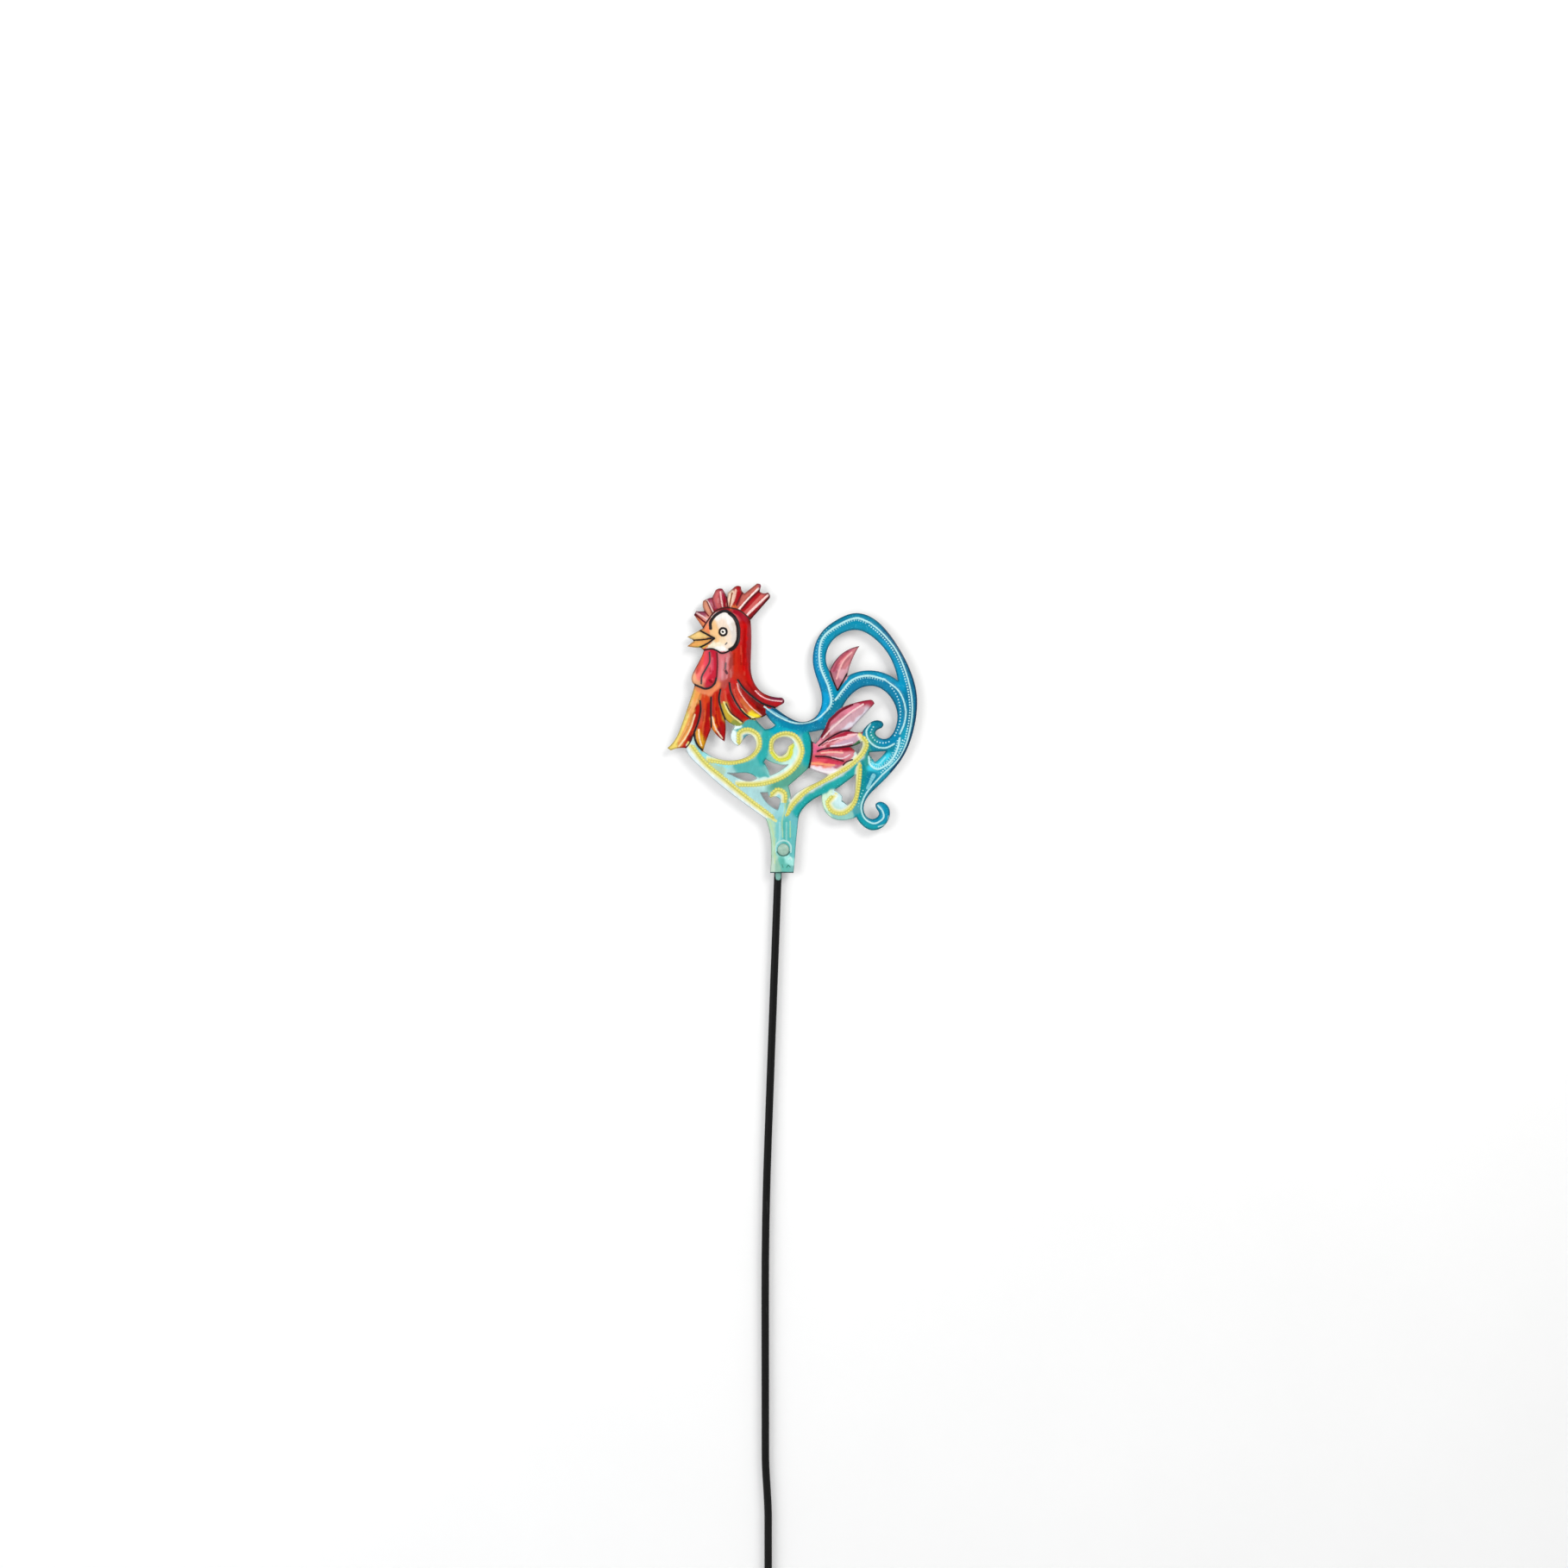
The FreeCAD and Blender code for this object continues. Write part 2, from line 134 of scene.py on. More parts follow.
def inside(loop, spots):
    """Whether each spot lies inside a closed loop."""
    a = np.asarray(loop, float)
    b = np.roll(a, -1, axis=0)
    edge_low = np.minimum(a[:, 1], b[:, 1])
    edge_high = np.maximum(a[:, 1], b[:, 1])
    found = np.zeros(len(spots), bool)
    near = np.where((spots[:, 1] >= edge_low.min()) & (spots[:, 1] <= edge_high.max()))[0]
    near = near[np.argsort(spots[near, 1], kind="stable")]
    # bands of spots at about one height meet only the few edges of that height
    for band in np.array_split(near, max(1, len(near) // 700)):
        if not len(band):
            continue
        x = spots[band, 0][:, None]
        z = spots[band, 1][:, None]
        met = (edge_high >= z.min()) & (edge_low <= z.max())
        p, q = a[met], b[met]
        spans = (p[:, 1] > z) != (q[:, 1] > z)
        rise = np.where(np.abs(q[:, 1] - p[:, 1]) < 1e-9, 1e-9, q[:, 1] - p[:, 1])
        cross = p[:, 0] + (z - p[:, 1]) * (q[:, 0] - p[:, 0]) / rise
        found[band] = (spans & (x < cross)).sum(1) % 2 == 1
    return found


# ---------------------------------------------------------------- outline


def outline_loops():
    """Loops round the CAD sheet: its outer edge and every opening."""
    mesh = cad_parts["rooster_panel"].data
    mesh.calc_loop_triangles()
    co = np.array([v.co for v in mesh.vertices]) / MM
    flat = co[:, [0, 2]] - (TAB_X, TAB_Z)
    on_back = np.abs(co[:, 1] - SHEET_BACK) < 0.02
    # vertices of neighbouring faces that share a place count as one
    tree = tree_of(flat)
    same = {}
    for i in np.where(on_back)[0]:
        found = [k for _, k, _ in tree.find_range((*flat[i], 0), 0.01) if on_back[k]]
        same[int(i)] = min(found)
    tri = np.array([t.vertices for t in mesh.loop_triangles])
    links = {}
    for corners in tri:
        back = [same[int(c)] for c in corners if on_back[c]]
        if len(back) == 2 and back[0] != back[1]:
            links.setdefault(back[0], set()).add(back[1])
            links.setdefault(back[1], set()).add(back[0])
    loops = []
    left = set(links)
    # the tab's edge is open where the channel lets the rod in, so that chain starts at an end
    for start in sorted(left, key=lambda q: (len(links[q]), q)):
        if start not in left:
            continue
        chain = [start]
        left.discard(start)
        while True:
            ahead = sorted(q for q in links[chain[-1]] if q in left)
            if not ahead:
                break
            chain.append(ahead[0])
            left.discard(ahead[0])
        if len(chain) > 5:
            loop = flat[chain]
            # the back is hollowed for the rod inside the tab; the sheet itself runs across it
            hollow = (loop[:, 0] > -5) & (loop[:, 0] < 12.5) & (loop[:, 1] > 0.02) & (loop[:, 1] < 30)
            loops.append(loop[~hollow])
    return sorted(loops, key=len, reverse=True)


def respace(loop, step):
    """The same loop with its corners kept and its points about step apart."""
    closed = np.vstack([loop, loop[:1]])
    kept = [closed[0]]
    for i in range(1, len(closed)):
        here = closed[i]
        before = here - closed[i - 1]
        after = closed[(i + 1) % len(closed) or 1] - here if i < len(closed) - 1 else closed[1] - here
        turn = abs(math.atan2(before[0] * after[1] - before[1] * after[0], before @ after))
        if turn > 0.35 or np.hypot(*(here - kept[-1])) > 0.6 * step:
            kept.append(here)
    out = []
    for a, b in zip(kept, kept[1:]):
        n = max(1, int(round(np.hypot(*(b - a)) / step)))
        out += [a + (b - a) * k / n for k in range(n)]
    out = np.array(out)
    gap = np.hypot(*(out - np.roll(out, 1, axis=0)).T)
    return out[gap > 0.05]


# ---------------------------------------------------------------- painting
# The drawing is kept in tables of rows "words: x z, x z", where a row whose line ends in a
# comma runs on.  The words before the colon are explained above each table.

COLOURS = {"black": (26, 22, 24), "soot": (74, 62, 66), "maroon": (58, 14, 30)}
PALE = (196, 246, 246)
CREAM = (236, 228, 132)
IVORY = (242, 246, 232)


def table(text):
    """Words and points of each row; a line that starts with # is a heading."""
    rows = []
    for row in text.replace(",\n", ",").splitlines():
        if row and row[0] != "#":
            words, places = row.split(":")
            points = [tuple(map(float, place.split())) for place in places.split(",")]
            rows.append((words.split(), points))
    return rows


def tinted(text):
    """Rows as (colour, numbers after it, points); a colour is a name or three numbers."""
    rows = []
    for words, points in table(text):
        count = 1 if words[0].isalpha() else 3
        tint = COLOURS[words[0]] if count == 1 else tuple(map(float, words[:3]))
        rows.append((tint, *map(float, words[count:]), points))
    return rows


# Areas, each a loop: name.  A spot belongs to the first one that holds it, and the rest is teal.
AREAS = [(words[0], loop) for words, loop in table("""
beak: -78 199, -68 201.6, -63 203.8, -57.5 199.4, -53.6 196, -57 191.5, -62 187.2, -78 187
face: -52 217.5, -46.5 219.3, -41 217.5, -37 212, -34.5 205, -34 197, -35.5 191, -38.5 187.3, -41 186,
  -44 184.8, -48 184.8, -51 186, -55 187.5, -60 187.5, -55 193, -53 196, -57 199.3, -56.6 204,
  -57.5 208.5, -55.5 214
wattle: -63 187.4, -55 187.5, -50.3 184, -50 176, -50.3 168, -51.5 160, -55 154.6, -61 153, -67 155,
  -71 156.6, -74 162, -72.4 169, -66 179
hackle: -95 100, -88 101.4, -79.5 102.6, -75.5 105, -73.2 108.5, -71.2 115, -68 109, -63.4 101.4,
  -61 101, -57.6 113, -55.6 119, -50 112, -44.4 107, -42.4 119, -43 126.4, -41 125.2, -34.5 122.4,
  -30 123.2, -27.6 126.2, -24.5 128.2, -19.5 127.6, -14.5 128.4, -9.6 131.2, -10.4 136.4, -2.6 137.6,
  2 139.2, 7 141.6, 7 150, -8 160, -8 200, -20 208, -33 208, -34 187, -100 187, -100 150
comb: -100 187, -34 187, -33 208, -20 208, -8 200, 0 225, 0 250, -100 250
leaf: 70 192, 57 188.6, 47.5 178.5, 42.6 169.5, 43.6 164.4, 49.2 152.2, 58.8 163.5, 62 173
fan: 28.6 109.5, 31.4 107.6, 35 112.6, 38.6 119, 42 127.6, 51.6 137, 60 142.6, 72 148, 84 144, 78 130,
  70.5 121, 70.8 117.8, 70 112.4, 66.8 110.3, 60 105.5, 64.5 102.5, 62.8 97, 58.6 92.3, 56.4 88.3,
  52.4 83.6, 43.6 80.5, 31 84.4, 25.6 87.2, 26.8 94, 28.2 102
""")]
AREA_NAMES = [name for name, _ in AREAS] + ["teal"]
FACE = AREA_NAMES.index("face")

# Washes of each area: colour.  A spot takes a blend of its area's washes, weighted by how
# near they pass.
WASHES = {
    "beak": """
243 206 132: -74.6 196.9, -66 199.6, -60 198.6
222 158 96: -64 202.6, -58 199.4
242 172 94: -74.6 189.9, -66 190.4, -59 193.4
224 192 88: -68 188.5, -62 188.4""",
    "face": """
248 244 238: -50 215, -44.5 216.2, -39.5 211
232 222 212: -37.4 206, -37 194
246 226 206: -46 208, -41 198, -43 189
246 198 140: -54.4 206, -52.4 199, -51 194
246 236 210: -55 190.6, -49.4 190.4
254 250 246: -52 187.4, -45 186.6
250 224 188: -46 193.6, -43 192.6""",
    "comb": """
154 66 92: -69 217.4, -62 216.6
248 142 92: -67.5 212.2, -62 207, -59 203
236 150 136: -60 210, -57.4 214
226 150 118: -61.4 224.5, -57.6 217.6
182 76 102: -57 228, -52.2 220.6
204 96 98: -51.6 234, -51 225, -50 221.4
174 22 60: -46.2 235.6, -45.6 229
148 0 8: -45.4 226.6, -44.6 221
254 222 194: -39.4 232.6, -40.2 224
232 116 60: -39.4 220.4, -36 222.6
184 10 24: -33 238, -33.6 224
188 84 82: -36 238
202 104 92: -18 240, -25 233, -33.4 223.4
192 0 0: -15.8 235.6, -21.8 228.8, -28.7 220
190 86 108: -15.6 240.6
206 96 92: -11.4 233.6, -18.6 226.8, -26.6 217.4
148 0 6: -8.6 230.2, -15.8 221.6, -22.8 212.8
160 70 80: -8 233
168 6 36: -53 219.4, -44 221, -34 217.6, -27 213
206 66 72: -40 216.4, -35 213
184 0 0: -30 207, -28.5 190""",
    "hackle": """
# back of the neck
156 36 42: -23.6 205, -23.6 178, -21 163
200 0 0: -27.5 205, -28 185, -27 170, -22 158
198 28 12: -31.6 186, -31.6 172, -28 160
204 40 16: -35.5 185, -36 172, -34.6 163
226 118 126: -44.6 181, -47 174, -48 166
214 126 130: -41 182, -42.6 170, -43 163
186 72 66: -39.4 182, -39.6 166, -45 156
210 34 32: -37.5 160, -42 152
236 138 92: -66 153.5, -58 151, -51 156
# first feather: yellow edge, orange middle, red towards the slit
246 220 112: -91 103.6, -86 107.5, -81 118, -76.6 132
228 186 92: -75.4 140, -71.4 150
242 160 80: -82 108, -76 122, -70.6 138, -67.4 149
192 10 0: -78 105.2, -73.5 114, -69.2 126, -67 138
116 0 0: -75 107.6, -72 114.5
# second
208 58 12: -61 147, -61.5 134, -64 123
186 0 0: -58 140, -58.4 126, -59.5 116
224 154 8: -68.4 117, -66.4 111, -63.6 105
# third
196 18 0: -52 150, -52 136, -50 124
248 144 34: -55 128, -53 120
168 12 22: -49.4 120, -46.4 111.4
178 0 0: -46.6 124, -45 116
# fourth
208 48 24: -46.5 152, -44.6 145
202 172 50: -44.8 139, -42.4 131, -40 126.6
144 154 66: -38 125, -32 123.8
182 0 0: -40 147, -37 138, -31 130
# fifth
214 56 36: -35.5 152, -33.4 143, -28.6 136.6
188 0 0: -28.5 131.6, -24.6 129.4
# sixth
164 0 0: -31.6 154, -26.6 147, -20 140
208 100 48: -30 143.5, -26 136
254 228 42: -23.4 131.4, -18.6 129.8
128 0 0: -19 146, -14.6 138, -12 133
# seventh
172 0 0: -22 158, -16 151, -8 146
186 0 14: -17 147.4, -10 142.6, -1 139.9
128 24 60: -6 145.9, 2.6 144.9""",
    "wattle": """
254 82 48: -67.6 172, -62.6 183
236 86 76: -66.4 170, -63.6 177
254 128 122: -62.4 171, -64.8 163
238 170 126: -72 163.4, -69.4 158.6, -66 157.4
238 74 94: -59.4 184, -59.6 176, -62 166
204 28 56: -54 183, -53.6 172, -54 164, -58 158
232 58 76: -55.6 179, -56 172""",
    "leaf": """
190 96 118: 46.4 169, 50.6 178.6, 59 186.6
208 126 134: 55.5 172, 60.6 180, 66 188
220 164 176: 53 165.4, 58 171
186 116 130: 46.6 166, 49 158
224 120 130: 49.4 174.5, 57 183.4""",
    "fan": """
138 0 12: 38.6 117, 44.4 127, 52 134
224 128 150: 35.4 114.6, 44 126, 54 134.5, 66 140
208 162 174: 46 119.5, 58 126, 70 136
224 216 228: 56 121.5, 66 126.6, 73 134
176 42 68: 66 143.4, 77 143.8
182 34 66: 41 106.6, 50 112.6, 58 116.6
246 170 178: 36 105.8, 50 110.6, 64 115.8
206 164 186: 48 107, 58 109.6, 67 113
186 58 94: 60 117.6, 68 116
240 104 120: 34 99.8, 44 100.8, 52 101.6
168 0 40: 48 102.8, 56 103.6, 62 103.4
218 134 146: 42 97.6, 52 97.4, 60 99.6
238 104 146: 32 103, 36 104.6
226 80 98: 30 94.6, 40 94.4
216 56 84: 40 92.8, 52 92.4
244 124 100: 30 91.4, 42 89.6
246 228 238: 30 87.6, 38 85.2, 48 85
192 100 126: 48 88.6, 55 88""",
    "teal": """
# great tail hoop
4 132 166: 34 200, 48 211.4, 64 215.8, 80 210.6
0 144 178: 40 196, 52 203.6, 66 206.4, 80 199.4
0 112 152: 90 200, 101 184, 110 166, 114.6 148
0 148 192: 88 191, 97 176, 104 158
0 138 188: 31.4 190, 31.6 172, 37 155
0 144 180: 39 186, 38.6 174, 43 162, 46 152
0 162 216: 37 148, 38 140, 33 130
4 114 146: 113.6 130, 109.6 112, 102 96
14 160 190: 107.4 118, 101 102, 88 88
20 150 178: 94 82, 80 68, 71 56
0 128 156: 76.6 80, 79.6 72, 77 67
0 158 172: 66 49, 72 41, 80 37.4, 88 39.4
0 148 182: 77.4 46, 84.6 43.4, 91.4 49, 87 57.6
# second hoop and the tail curl
6 144 184: 54 158, 64 165.6, 78 168, 94 163
0 124 164: 56 150, 66 158.4, 80 160.4, 95 152.6, 102 138
0 134 176: 103 126, 98 114, 90 109
0 136 160: 75 125.4, 72 118, 76 107.6, 84 101.6, 94 103.6
0 122 148: 86 125
58 210 234: 78 90, 84 92, 90 97
0 124 154: 52 144, 44 136, 40 126
# saddle and body
4 120 160: -2 134, 9 127, 20 123.6, 31 126
0 134 170: 6 124, 17 120.4, 27 121.6
0 168 192: -6 121, 4 119.4, 15 117.4
14 166 170: 24 114, 25.6 104, 24.4 94
88 166 144: 19 88, 10 79, -2 74
40 172 172: -9 116, -10 104, -14 96
84 182 180: -20 91, -32 87.5, -8 80
70 170 170: -28 124, -18 121, -36 119
# breast scroll and breast strap
178 212 190: -66 99, -56 90.4, -46 84
226 242 246: -76 101, -64 88.6, -50 76.8, -32 62.6, -14 50
174 220 222: -42 82.4, -28 71, -14 60, -4 51
236 254 254: -38.4 108.4, -37.6 116, -33.6 122
84 158 172: -29 112, -28.6 116
198 224 208: -20.6 113, -19 106, -25.4 98.8
146 226 232: -44 92.4, -60 95.6, -66 100
204 242 234: 14.4 110.6, 17 102, 12.6 91.6, 2 83.4, -14 77.8, -30 77
192 216 48: 8.4 99.6, 11.4 106
140 204 190: -4 108, -5 100, -1 96.4
# long strap, small curl, little hook
206 226 222: 10 60, 20 68, 38 77.6, 56 87.4, 68.4 99
26 166 166: 16 50, 24 59, 38 68.6, 54 77.6, 66 88
108 190 196: 12 46, 16 40
44 152 146: 75 92, 77 104, 75 112
62 122 70: 68 104, 69.4 110
8 142 150: 70.6 90, 69.4 76, 67.4 62
214 244 214: 44 66, 38.6 59, 43 49
206 238 240: 48 66, 50 62.4, 54 60
148 206 194: 40 52, 50 46.6, 60 48
76 162 170: 66 50, 68.4 58
154 214 218: 0 62, 2.4 54, -2 48
124 192 172: 8.8 66, 9 56
# tab
180 220 190: -6 40, -5 26, -4.6 14
196 220 202: -4.4 12, -4.6 3
128 206 206: 0 44, 0.6 30, 0 18
84 186 180: 7 42, 7.2 30, 8 24
104 192 192: 13.4 38, 12.4 24, 11.4 16
98 190 176: 3 10, 5 5, 9 4
154 202 180: -1 8, 0 3
170 238 230: 8.6 12.6, 11 8
120 188 184: 11 4, 12.4 1""",
}
WASHES = {name: tinted(text) for name, text in WASHES.items()}

# Long ridges hammered up from the back: their kind of paint.
RIDGES = [(points, " ".join(words)) for words, points in table("""
# back and the great tail hoop, down to the hook
line: -11.4 138.8, 0.5 130.4, 16.6 124.8, 32 128, 41 135.6
pale: 41 135.6, 44.4 142, 42.2 154.8, 35 174, 37 195.3, 52 207.6, 66 212.6, 76.6 208.8
dotted: 76.6 208.8, 85.4 201.6, 98 186.6, 107.4 165, 112 142, 110.4 121, 102.7 98, 85.6 80.4
line: 85.6 80.4, 77.4 71.2, 72.2 63.6, 69.6 53.6, 72.8 45, 80.4 41.3, 88 46, 87.2 51.6, 83.4 56.2
# second hoop
pale: 48 144.4, 54.4 152.8, 62.5 161.2, 75 164.6, 89 161.4
line: 89 161.4, 101.1 151.2, 106.6 136, 105.3 124.5, 101.8 116.2
# tail curl
line: 77 124.4, 73.8 118, 76.2 110, 82.4 105.2, 90 104.4, 97 107.6
# hook under the tail curl
pale: 101.6 112.4, 100.5 106, 97.3 98, 90.6 90, 82.6 86.7, 76.8 90.6, 75.9 97.2
# small curl and its stem
yellow left: 45 63.6, 41.2 58.6, 45.4 51.2, 54.1 49.6, 62.2 55.6, 66.3 67, 68.9 89.6
# long strap
yellow left: 7.4 48.4, 12.4 56.6, 25 69, 46 80.6, 62 90.6, 72.2 101.4, 74.2 108.4, 71.2 113.4
# breast scroll
yellow right: -33 108.6, -32.4 117, -25 119.8, -16.6 115, -15.4 105.4, -22.4 96.6, -38 91.8, -57.5 93.6
# breast strap
yellow right: -71.6 106, -60.4 91.8, -44 78, -25 62.4, -4 46.4
# body spiral
yellow left: -33.2 73.4, -14 74, 4 79.8, 15.4 89.4, 20.4 102.5, 14.4 114.4, 4 116.4, -4.8 111.2,
  -5.9 101.2
lemon left: -5.9 101.2, 0.6 94.6, 8.6 96.2, 11.6 104.6
# little hook and its stem
yellow right: -5.6 65.4, -0.4 69.6, 5.6 66.8, 6.3 59
flute: 6.2 57.6, 5.4 51, 3.6 44.6, 3.9 30
# flutes down the tab
flute: -7 43, -3.9 32, -2.7 18, -2.6 8
flute: 10.2 43, 10.3 30
""")]

# Pale brush strokes: colour, half width, cover, midrib height.
# painted light in a pale arc round the upper side of the rivet head
LIGHTS = tinted("""
# comb
240 200 196 0.75 0.9 0.35: -59 211.5, -68 217.2
238 206 200 0.75 0.9 0.35: -54.2 218, -57 223.5, -59.6 228
244 196 192 0.7 0.9 0.35: -46.2 222.4, -47.4 229, -48 234.6
238 196 176 0.9 0.9 0.35: -39.6 222.4, -36.8 229, -35.2 236
255 236 230 0.95 0.95 0.35: -32.5 220, -24 229.4, -16.4 237.2
255 222 216 0.95 0.95 0.35: -25.5 215.5, -17 223.8, -8.6 231.6
176 0 20 1.8 0.9 0: -28.2 220.7, -25.4 223.3, -19.6 229.4, -16 233
150 0 30 1.1 0.9 0: -21.8 213.4, -14.3 222, -7.2 229.6
172 0 22 1.5 0.85 0: -37 224.4, -34.2 229, -33 233.6
150 0 34 1.1 0.8 0: -45.6 222.6, -44.2 228.4, -44.6 233.6
# crown and neck
238 120 116 0.5 0.5 0: -41.5 218.6, -36 215.4, -33.2 211
232 110 118 0.5 0.6 0: -22.9 206, -22.7 190, -22.9 176, -21 163.6, -17 156.6, -11 151
# hackle feathers
252 238 190 0.7 0.75 0.3: -69.4 132, -72.4 122, -77 113, -82.6 105.6
252 230 190 0.7 0.85 0.3: -66 119.5, -65.6 113, -63.8 106.2
250 222 190 0.7 0.85 0.3: -54.8 130, -52.4 121.4, -46.6 112.4
240 232 150 0.85 0.85 0.3: -45 142.5, -41 134, -36 129.5, -31 125.5
248 190 180 0.5 0.85 0.3: -34 158, -32.5 152, -28 145, -22 138, -14 131.6
250 238 150 0.9 0.9 0.2: -30.6 136.6, -26 131.6, -19.6 129.4
250 204 206 0.5 0.9 0.3: -19 152, -14 147.5, -7 144.5, 3.2 143.2
# leaf and fan
150 40 58 1 0.55 0: 46.6 168.8, 51 177, 58.4 184.4
168 20 48 0.9 0.65 0: 37 106.6, 43 110.6, 50 113.9, 58 116.6, 66 117.4
168 16 44 0.9 0.65 0: 43 102.8, 52 103.4, 60 103.6
160 24 50 0.8 0.6 0: 33 96, 42 95.6, 50 93.4
246 186 182 0.7 0.9 0.35: 61.5 184, 55.5 178, 51.5 170, 49 162
246 214 214 0.75 0.9 0.35: 37.6 112.6, 45 120.6, 53 127.6, 62 135, 71 140.6
244 206 212 0.7 0.9 0.35: 35 107, 45 111, 56 113.5, 66 116
244 236 244 0.6 0.85 0: 44 105.8, 54 106.8, 62 109
248 198 178 0.7 0.9 0.35: 36 100, 46 100.8, 54 100.3
244 232 240 0.6 0.7 0: 45 96.6, 54 95.6, 60 98.6
250 170 120 0.8 0.8 0.3: 28.4 91.6, 38 90.6, 47 89.9
252 246 250 0.8 0.9 0: 29 87, 36 84.9, 45 84, 52 85.8
# bright inner turn of the body spiral
238 230 74 1.45 0.9 0: -5.2 100, 0.6 94.4, 7.6 95, 10.8 99.4, 11.4 104.8
# face
255 255 255 1.4 0.4 0: -41.4 209.6, -38.8 203.6
255 252 246 2.1 0.9 0: -45.9 201.2, -45.7 201.2
# bright wedge under the tail curl and loose touches on the teal parts
150 234 244 0.7 0.8 0: 79 92, 83.4 90.4, 89.6 96.4
150 226 236 1.8 0.7 0: 79.8 81.2, 78.2 78
150 226 236 1.3 0.7 0: 78.6 78.8, 74.8 70.8
206 248 250 0.6 0.7 0: 92.4 47.4, 91 41.4, 84 38.6
140 214 236 0.6 0.6 0: -8.4 137, -1 132.8, 8 128.2
214 244 240 0.6 0.7 0: 8.8 11.4, 10.4 12.8, 11.4 11
206 240 232 0.75 0.7 0: -1.9 17.6, -2.2 20.4, -1.2 23.6, 1.2 26, 4.6 27, 8 26, 10.2 23.6, 10.9 20.6,
  10.6 17.4
186 230 226 0.9 0.45 0: 1.4 42, 1.6 32, 1.2 27.4
186 230 226 0.8 0.4 0: 7.2 42, 7 32, 7.2 27.6
240 250 250 0.8 0.75 0: 52 68, 56.4 64.6, 55 60.8
236 250 250 0.6 0.8 0: 44.4 66, 49 64.8
""")
